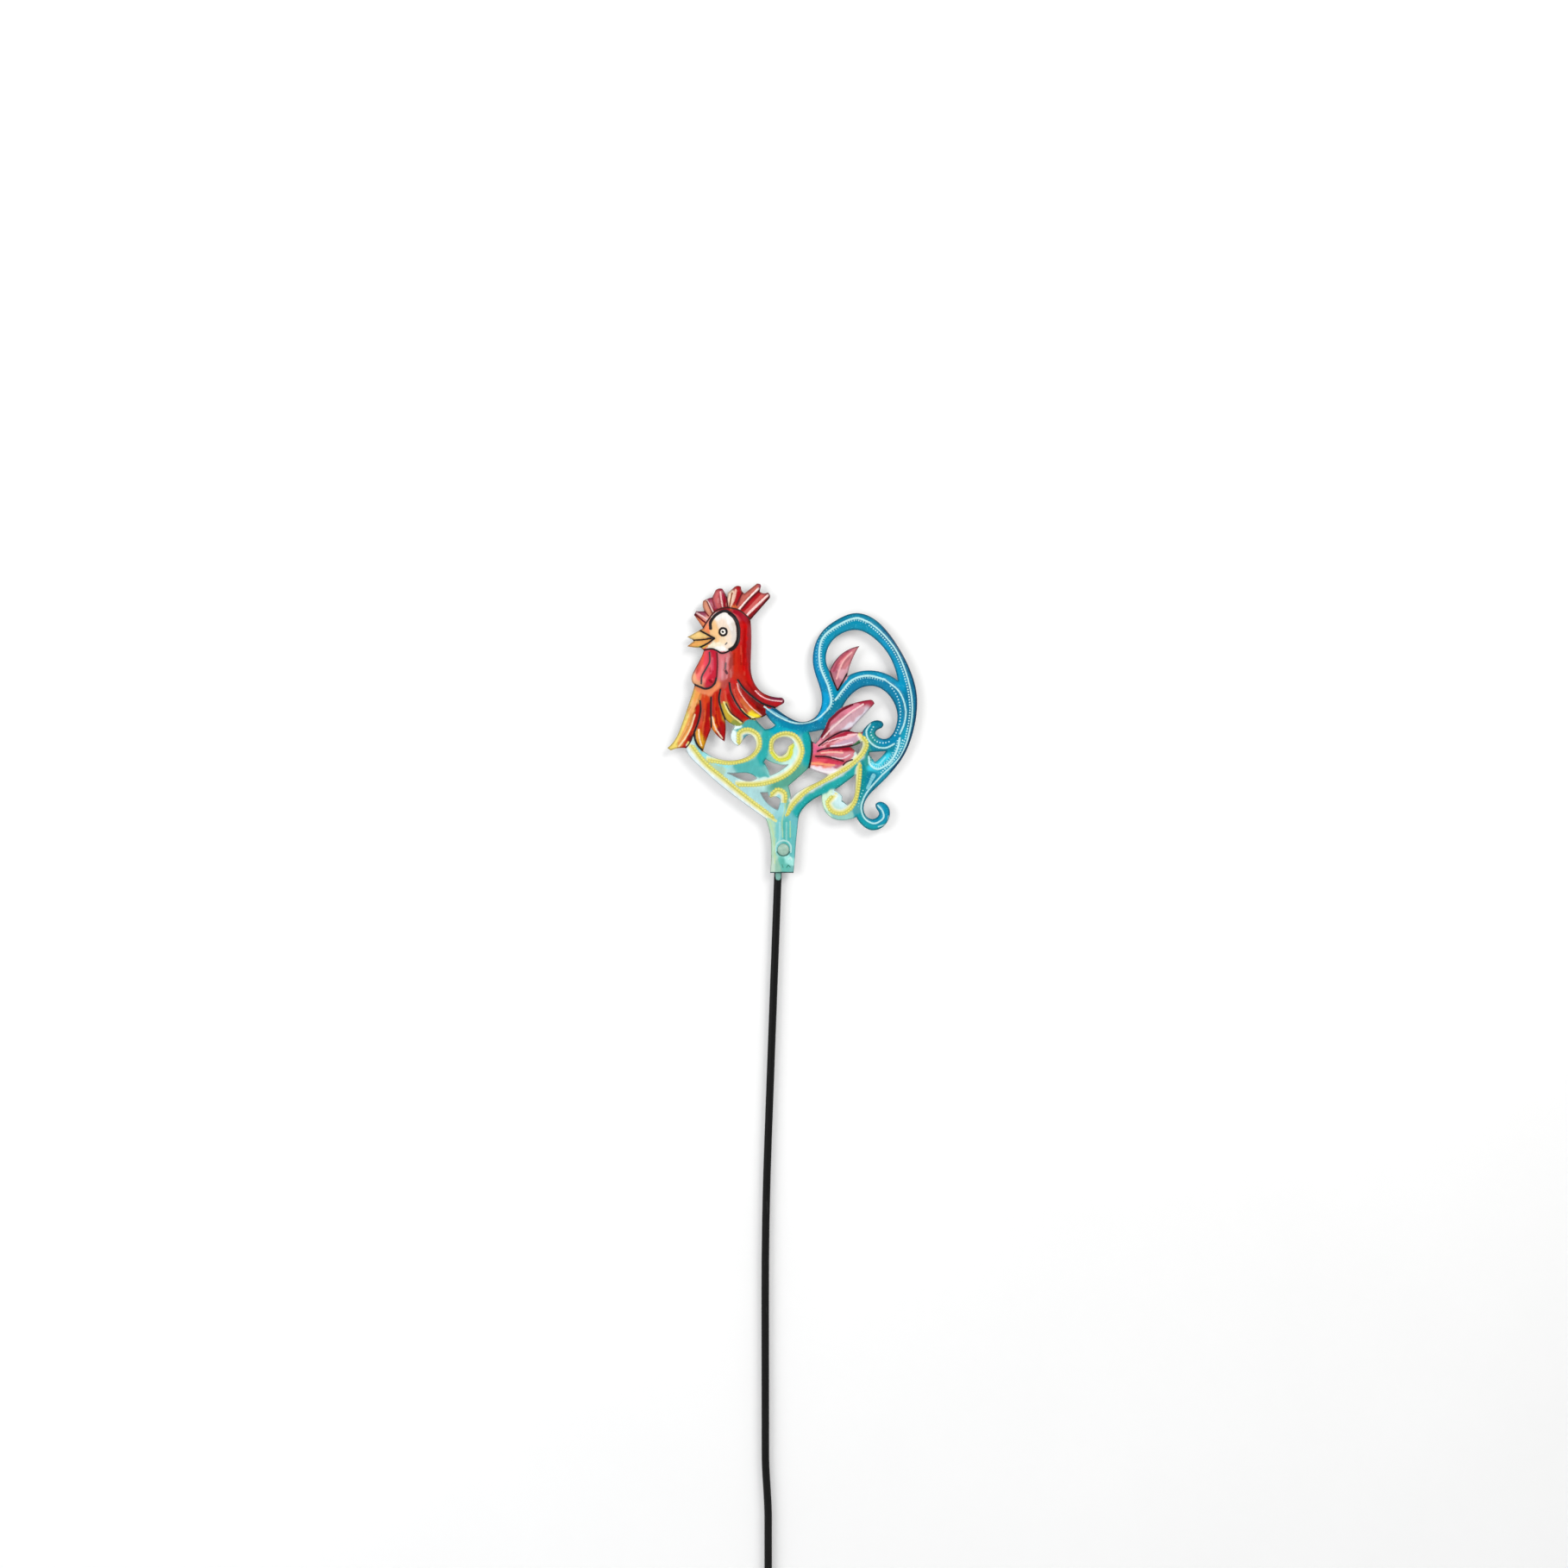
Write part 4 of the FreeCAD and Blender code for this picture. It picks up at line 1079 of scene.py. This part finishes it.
def pale_marks(drawing, facts, dot_far, dot_which):
    """Distance outside the nearest pale stroke, ridge or dot, and its colour with its cover."""
    ridge, light = facts["ridge"], facts["light"]
    far = light["far"] - column(drawing.lights, 1)[light["owner"]]
    tints = np.array([linear(*entry[0]) + (entry[2],) for entry in drawing.lights])[light["owner"]]
    # painted ridges
    paint = {kind: linear(*tint) + (cover,) for kind, (_, tint, cover) in RIDGE_PAINT.items()}
    ridge_far = ridge["far"] - np.array([RIDGE_PAINT[kind][0] for kind in ridge["kind"]])
    closer = ridge_far < far
    far = np.where(closer, ridge_far, far)
    tints[closer] = np.array([paint[kind] for kind in ridge["kind"]])[closer]
    # dots
    dot_edge = dot_far - column(drawing.dots, 1)[dot_which]
    dot_tint = np.array([linear(*tint) + (0.95,) for _, _, tint in drawing.dots])[dot_which]
    beaded = ridge["roped"] & (ridge["far"] < 2.2)
    closer = (dot_edge < far) & ~beaded
    far = np.where(closer, dot_edge, far)
    tints[closer] = dot_tint[closer]
    # beads stand out bright on the duller yellow of their ridge, and scallop its edges
    bright = ease(1.25 - dot_far / 1.05)[:, None]
    tints[beaded] = (tints * (1 - bright) + dot_tint * bright)[beaded]
    return np.where(beaded, np.minimum(ridge["far"] - 1.2, dot_far - 1.4), far), tints


def paint_mesh(mesh, front, back, drawing, facts, dot_far, dot_which):
    """Store the paint on the mesh; the back is bare coat."""
    area, ink = facts["area"], facts["ink"]
    colour = streaked(washed(front, area), front, area)
    # painted shade: the paint is darkened beside the deep grooves, as shade in the creases
    deep = np.clip(ink["depth"] / 0.35, 0, 1) * np.exp(-(ink["far"] / 1.7) ** 2)
    colour = creamed(colour * (1 - 0.38 * deep)[:, None], facts["ridge"])
    light, light_colour = pale_marks(drawing, facts, dot_far, dot_which)
    ink_far = ink["far"] - column(drawing.inks, 1)[ink["owner"]]
    ink_colour = np.array([linear(*entry[0]) + (1.0,) for entry in drawing.inks])[ink["owner"]]
    # the dark edge, partly outline and partly painted shade where the sheet rolls away at its cut edges,
    # is broad on the blue parts and the comb, and narrow on the pale ones
    bluer = (area == len(AREAS)) & (colour[:, 0] < 0.08)
    narrow = np.array([RIM.get(name, RIM_OTHER) for name in AREA_NAMES])
    rim = facts["edge"] * np.where(bluer, RIM_BLUE, narrow[area])

    def store(name, values, back_value):
        values = np.vstack([values, np.tile(back_value, (len(back), 1))]).astype(np.float32)
        kind = "FLOAT" if values.shape[1] == 1 else "FLOAT_COLOR"
        layer = mesh.attributes.new(name, kind, "POINT")
        layer.data.foreach_set("value" if kind == "FLOAT" else "color", values.ravel())

    store("paint", np.column_stack([colour, np.ones(len(front))]), [0.01, 0.01, 0.011, 1])
    store("light", light[:, None], [BARE])
    store("light_colour", light_colour, [0, 0, 0, 0])
    store("ink", ink_far[:, None], [BARE])
    store("ink_colour", ink_colour, [0, 0, 0, 0])
    store("coat", np.zeros((len(front), 1)), [1.0])
    store("rim", rim[:, None], [0.0])


def build_panel():
    """The painted rooster as one sheet of metal with its relief and paint."""
    turn = np.linspace(0, 2 * np.pi, 24, endpoint=False)
    hole = np.column_stack([RIVET_X + HOLE_R * np.cos(turn), RIVET_Z + HOLE_R * np.sin(turn)])
    loops = [respace(loop, EDGE_STEP) for loop in outline_loops()] + [hole]
    drawing = Drawing(loops)
    front, front_faces = front_grid(loops, drawing)
    back, back_faces = back_grid(loops, drawing)
    facts = drawing.survey(front)
    dot_far, dot_which = nearest(drawing.dot_tree, front)
    mesh = sheet_mesh(front, front_faces, front_height(front, facts, dot_far),
                      back, back_faces, back_height(back, drawing.survey(back)))
    paint_mesh(mesh, front, back, drawing, facts, dot_far, dot_which)
    obj = bpy.data.objects.new("rooster_panel_painted", mesh)
    bpy.context.scene.collection.objects.link(obj)
    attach(obj, "root")
    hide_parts("rooster_panel")
    return obj


# ---------------------------------------------------------------- materials

DAB_X = 0.2          # dab of teal paint on the rod: middle, half width and length under the tab
DAB_HALF = 2.3
DAB_LONG = 6.2


class Nodes:
    """Short way to write a node tree."""

    def __init__(self, name):
        self.material = bpy.data.materials.new(name)
        self.material.use_nodes = True
        self.tree = self.material.node_tree
        self.tree.nodes.clear()
        self.output = self.tree.nodes.new("ShaderNodeOutputMaterial")
        self.coords = self.add("TexCoord").outputs["Object"]

    def add(self, kind, settings=None, **inputs):
        node = self.tree.nodes.new("ShaderNode" + kind)
        for key, value in (settings or {}).items():
            setattr(node, key, value)
        for key, value in inputs.items():
            self.put(node, key.replace("_", " "), value)
        return node

    def put(self, node, key, value):
        socket = node.inputs[int(key) if key.isdigit() else key]
        if isinstance(value, bpy.types.NodeSocket):
            self.tree.links.new(value, socket)
        else:
            socket.default_value = value

    def noise(self, scale, detail=3.0, rough=0.55, stretch=None, distortion=0.0):
        vector = self.coords
        if stretch:
            vector = self.add("Mapping", None, Vector=self.coords, Scale=stretch).outputs[0]
        return self.add("TexNoise", None, Vector=vector, Scale=scale, Detail=detail,
                        Roughness=rough, Distortion=distortion).outputs["Fac"]

    def math(self, operation, a, b=0.0, c=0.0):
        node = self.add("Math", {"operation": operation})
        for i, value in enumerate((a, b, c)):
            self.put(node, str(i), value)
        return node.outputs[0]

    def ramp(self, value, low, high, out_low=0.0, out_high=1.0):
        node = self.add("MapRange", {"interpolation_type": "SMOOTHSTEP"}, Value=value, From_Min=low,
                        From_Max=high, To_Min=out_low, To_Max=out_high)
        return node.outputs[0]

    def mix(self, factor, a, b):
        node = self.add("Mix", {"data_type": "RGBA"})
        self.put(node, "0", factor)
        self.put(node, "6", a)
        self.put(node, "7", b)
        return node.outputs[2]

    def attribute(self, name):
        return self.add("Attribute", {"attribute_name": name})

    def bump(self, height, strength, distance, normal=None):
        node = self.add("Bump", None, Height=height, Strength=strength, Distance=distance)
        if normal is not None:
            self.put(node, "Normal", normal)
        return node.outputs[0]

    def finish(self, **inputs):
        shader = self.add("BsdfPrincipled")
        for key, value in inputs.items():
            self.put(shader, key.replace("_", " "), value)
        self.tree.links.new(shader.outputs[0], self.output.inputs[0])
        return self.material


def grey(value):
    return (value, value, value, 1)


def painted_sheet():
    """Brushed enamel on the front, black satin coat on the back and the cut edges."""
    n = Nodes("painted_sheet")
    wander = n.math("SUBTRACT", n.noise(900, 2), 0.5)
    paint = n.attribute("paint").outputs["Color"]
    # brush streaks and thin places
    streaks = n.noise(420, 4, 0.6, (1, 1, 0.35), 0.4)
    cloud = n.noise(120, 3, 0.5)
    shade = n.math("MULTIPLY_ADD", streaks, 0.34, 0.83)
    shade = n.math("MULTIPLY", shade, n.math("MULTIPLY_ADD", cloud, 0.3, 0.85))
    shaded = n.add("VectorMath", {"operation": "SCALE"})
    n.put(shaded, "0", paint)
    n.put(shaded, "Scale", shade)
    colour = shaded.outputs[0]
    # small bright flecks in the blue
    red = n.add("SeparateColor", None, Color=paint).outputs["Red"]
    fleck = n.math("MULTIPLY", n.ramp(n.noise(900, 2, 0.6), 0.63, 0.72), n.ramp(red, 0.07, 0.01))
    colour = n.mix(n.math("MULTIPLY", fleck, 0.5), colour, (0.16, 0.72, 0.86, 1))
    # pale strokes
    light = n.math("ADD", n.attribute("light").outputs["Fac"], n.math("MULTIPLY", wander, 0.9))
    light_colour = n.attribute("light_colour")
    cover = n.math("MULTIPLY", n.ramp(light, 0.25, -0.3), light_colour.outputs["Alpha"])
    cover = n.math("MULTIPLY", cover, n.ramp(n.noise(700, 3), 0.28, 0.5, 0.7, 1.0))
    colour = n.mix(cover, colour, light_colour.outputs["Color"])
    # dark strokes
    ink = n.math("ADD", n.attribute("ink").outputs["Fac"], n.math("MULTIPLY", wander, 0.6))
    ink_cover = n.ramp(ink, 0.42, -0.15)
    colour = n.mix(ink_cover, colour, n.attribute("ink_colour").outputs["Color"])
    # paint wears thin at the rim of the front
    # a dark outline and painted shade at the rim of the front, where the sheet rolls away at its cut edges
    rim = n.math("ADD", n.attribute("rim").outputs["Fac"], n.math("MULTIPLY", wander, 0.5))
    rim_outline_and_shade = n.math("MULTIPLY", n.ramp(rim, 0.95, 0.1), 0.7)
    colour = n.mix(rim_outline_and_shade, colour, n.mix(0.75, colour, grey(0.0)))
    # black coat
    coat = n.math("ADD", n.attribute("coat").outputs["Fac"], n.math("MULTIPLY", wander, 0.3))
    coat = n.ramp(coat, 0.3, 0.6)
    coat_colour = n.mix(n.noise(260, 4), grey(0.012), grey(0.035))
    colour = n.mix(coat, colour, coat_colour)
    rough = n.math("MULTIPLY_ADD", streaks, 0.3, 0.2)
    rough = n.math("ADD", rough, n.math("MULTIPLY", ink_cover, 0.12))
    grain = n.bump(n.noise(1500, 3), 0.12, 0.0004)
    normal = n.bump(streaks, 0.2, 0.0006, grain)
    return n.finish(Base_Color=colour, Roughness=rough, Normal=normal, Specular_IOR_Level=0.14,
                    Coat_Weight=0.2, Coat_Roughness=0.12)


def black_rod():
    """Satin black coat with small scuffs, and a dab of teal just under the tab."""
    n = Nodes("black_rod")
    cloud = n.noise(90, 4, 0.6, (1, 1, 0.25))
    colour = n.mix(cloud, grey(0.003), grey(0.012))
    scuff = n.ramp(n.noise(700, 2, 0.7, (1, 1, 0.08)), 0.66, 0.74)
    colour = n.mix(n.math("MULTIPLY", scuff, 0.5), colour, grey(0.06))
    # the dab: a rounded patch on the front, from DAB_LONG under the tab up to its edge
    place = n.add("SeparateXYZ", None, Vector=n.coords)
    wander = n.math("MULTIPLY", n.math("SUBTRACT", n.noise(500, 2), 0.5), 0.0012)
    aside = n.math("SUBTRACT", place.outputs["X"], (TAB_X + DAB_X) * MM)
    low = n.math("SUBTRACT", (TAB_Z - DAB_LONG + DAB_HALF) * MM, place.outputs["Z"])
    low = n.math("MAXIMUM", low, 0.0)
    far = n.math("SQRT", n.math("ADD", n.math("MULTIPLY", aside, aside), n.math("MULTIPLY", low, low)))
    inside_dab = n.ramp(n.math("ADD", far, wander), (DAB_HALF + 0.3) * MM, (DAB_HALF - 0.3) * MM)
    below = n.ramp(place.outputs["Z"], (TAB_Z + 1.5) * MM, (TAB_Z + 0.5) * MM)
    forward = n.ramp(place.outputs["Y"], -0.0002, -0.0008)
    dab = n.math("MULTIPLY", n.math("MULTIPLY", inside_dab, below), forward)
    teal = n.mix(n.noise(900, 3, 0.6), (*linear(88, 146, 134), 1), (*linear(150, 204, 192), 1))
    colour = n.mix(dab, colour, teal)
    rough = n.math("MULTIPLY_ADD", cloud, 0.25, 0.34)
    normal = n.bump(n.noise(1300, 3), 0.15, 0.0005)
    return n.finish(Base_Color=colour, Roughness=rough, Normal=normal, Specular_IOR_Level=0.12)


def painted_rivet():
    """Teal-grey paint over the hammered head, with painted shade at its foot, and black behind."""
    n = Nodes("painted_rivet")
    place = n.add("SeparateXYZ", None, Vector=n.coords)
    streaks = n.noise(500, 4, 0.6)
    colour = n.mix(streaks, (*linear(120, 172, 152), 1), (*linear(190, 216, 200), 1))
    # painted shade: the head darkens towards its foot, where it meets the sheet
    low = n.ramp(place.outputs["Y"], (SHEET_FRONT - 0.75) * MM, (SHEET_FRONT - 0.2) * MM)
    colour = n.mix(n.math("MULTIPLY", low, 0.8), colour, (*linear(70, 110, 104), 1))
    behind = n.ramp(place.outputs["Y"], (SHEET_FRONT + 0.3) * MM, (SHEET_FRONT + 0.6) * MM)
    colour = n.mix(behind, colour, grey(0.02))
    normal = n.bump(n.noise(420, 3), 0.35, 0.0008)
    return n.finish(Base_Color=colour, Roughness=n.math("MULTIPLY_ADD", streaks, 0.3, 0.28), Normal=normal,
                    Coat_Weight=0.2, Coat_Roughness=0.25)


def black_washer():
    """Satin black coat that wears grey in places."""
    n = Nodes("black_washer")
    cloud = n.noise(600, 4, 0.6)
    colour = n.mix(cloud, grey(0.012), grey(0.05))
    normal = n.bump(n.noise(1500, 3), 0.2, 0.0004)
    return n.finish(Base_Color=colour, Roughness=n.math("MULTIPLY_ADD", cloud, 0.3, 0.35), Normal=normal)


# ---------------------------------------------------------------- stage

BACKDROP_Y = 4.1                      # just behind the sheet's washer
BACKDROP_GLOW = 0.145                 # lifts the paper to white
BACKDROP_HALF = 4000
BACKDROP_TOP = 5000
FLOOR_Z = first_bounds[0][2] / MM     # under the rod's point
FLOOR_HALF = 30000
WORLD_LIGHT = 0.46
KEY_POWER = 11.5
FILL_POWER = 12
VIEW_X = 13.24                        # the camera looks straight at the sheet from here
VIEW_Z = 627.7
CAMERA_FAR = 1818.0


def plain_white(name, camera_only=False):
    """Plain pale paper, very slightly uneven."""
    n = Nodes(name)
    cloud = n.noise(6, 3)
    colour = n.mix(cloud, grey(0.90), grey(0.94))
    shader = n.add("BsdfPrincipled", None, Base_Color=colour, Roughness=0.9)
    n.put(shader, "Specular IOR Level", 0.0)
    n.put(shader, "Emission Color", grey(1.0))
    n.put(shader, "Emission Strength", BACKDROP_GLOW)
    if not camera_only:
        n.tree.links.new(shader.outputs[0], n.output.inputs[0])
        return n.material
    # seen straight on from the front only: other rays pass through
    path = n.add("LightPath")
    facing = n.add("NewGeometry")
    front_side = n.math("SUBTRACT", 1.0, facing.outputs["Backfacing"])
    solid = n.math("MULTIPLY", path.outputs["Is Camera Ray"], front_side)
    clear = n.add("BsdfTransparent")
    mix = n.tree.nodes.new("ShaderNodeMixShader")
    n.tree.links.new(solid, mix.inputs[0])
    n.tree.links.new(clear.outputs[0], mix.inputs[1])
    n.tree.links.new(shader.outputs[0], mix.inputs[2])
    n.tree.links.new(mix.outputs[0], n.output.inputs[0])
    return n.material


def rectangle(name, corners, material):
    """One flat piece of the stage."""
    mesh = bpy.data.meshes.new(name)
    mesh.from_pydata([Vector(c) * MM for c in corners], [], [(0, 1, 2, 3)])
    mesh.materials.append(material)
    obj = bpy.data.objects.new(name, mesh)
    bpy.context.scene.collection.objects.link(obj)
    return obj


def area_light(name, place, target, size, power, colour=(1, 1, 1)):
    """A rectangular light that faces its target."""
    lamp = bpy.data.lights.new(name, "AREA")
    lamp.shape = "RECTANGLE"
    lamp.size, lamp.size_y = size[0] * MM, size[1] * MM
    lamp.energy = power
    lamp.color = colour
    obj = bpy.data.objects.new(name, lamp)
    bpy.context.scene.collection.objects.link(obj)
    obj.location = Vector(place) * MM
    way = (Vector(target) - Vector(place)) * MM
    obj.rotation_euler = way.to_track_quat("-Z", "Y").to_euler()
    return obj


def build_world():
    """A room that is bright all round but dark behind the camera, which keeps flat paint deep."""
    world = bpy.data.worlds.new("studio")
    world.use_nodes = True
    tree = world.node_tree
    place = tree.nodes.new("ShaderNodeTexCoord")
    split = tree.nodes.new("ShaderNodeSeparateXYZ")
    tree.links.new(place.outputs["Generated"], split.inputs[0])
    fade = tree.nodes.new("ShaderNodeMapRange")
    tree.links.new(split.outputs["Y"], fade.inputs["Value"])
    for key, value in (("From Min", -0.97), ("From Max", -0.8),
                       ("To Min", 0.05 * WORLD_LIGHT), ("To Max", WORLD_LIGHT)):
        fade.inputs[key].default_value = value
    background = tree.nodes["Background"]
    background.inputs["Color"].default_value = (0.97, 0.985, 1.0, 1)
    # the camera itself sees an even room
    path = tree.nodes.new("ShaderNodeLightPath")
    seen = tree.nodes.new("ShaderNodeMix")
    tree.links.new(path.outputs["Is Camera Ray"], seen.inputs[0])
    tree.links.new(fade.outputs[0], seen.inputs[2])
    seen.inputs[3].default_value = 0.7
    tree.links.new(seen.outputs[0], background.inputs["Strength"])
    bpy.context.scene.world = world


def build_camera():
    """A 50 mm lens straight in front of the sheet."""
    camera = bpy.data.cameras.new("camera")
    camera.lens = 50
    camera.sensor_width = 36
    camera.clip_start = 0.05
    camera.clip_end = 50
    obj = bpy.data.objects.new("camera", camera)
    bpy.context.scene.collection.objects.link(obj)
    obj.location = (VIEW_X * MM, (SHEET_FRONT - CAMERA_FAR) * MM, VIEW_Z * MM)
    obj.rotation_euler = (math.radians(90), 0, 0)
    bpy.context.scene.camera = obj
    bpy.context.scene.view_settings.view_transform = "Standard"
    bpy.context.scene.view_settings.look = "None"


def build_stage():
    """Backdrop close behind the sheet, floor under the rod's point, soft light, camera."""
    corners = [(-BACKDROP_HALF, FLOOR_Z + 1), (BACKDROP_HALF, FLOOR_Z + 1),
               (BACKDROP_HALF, BACKDROP_TOP), (-BACKDROP_HALF, BACKDROP_TOP)]
    rectangle("backdrop", [(x, BACKDROP_Y, z) for x, z in corners],
              plain_white("backdrop_paper", camera_only=True))
    corners = [(-FLOOR_HALF, -FLOOR_HALF), (FLOOR_HALF, -FLOOR_HALF),
               (FLOOR_HALF, FLOOR_HALF), (-FLOOR_HALF, FLOOR_HALF)]
    rectangle("floor", [(x, y, FLOOR_Z) for x, y in corners], plain_white("floor_paper"))
    build_world()
    middle = (VIEW_X, 0, 690)
    area_light("key", (900, -930, 1500), middle, (700, 700), KEY_POWER, (1, 0.985, 0.96))
    area_light("fill", (-1300, -1100, 900), middle, (1100, 1100), FILL_POWER)
    build_camera()


# ---------------------------------------------------------------- build

panel = build_panel()
panel.data.materials.append(painted_sheet())
for node, material in (("stake_rod", black_rod()), ("rivet", painted_rivet()),
                       ("rivet_washer", black_washer())):
    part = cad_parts[node]
    part.data.materials.clear()
    part.data.materials.append(material)
    part.data.shade_smooth()
    part.data.set_sharp_from_angle(angle=math.radians(40))
build_stage()
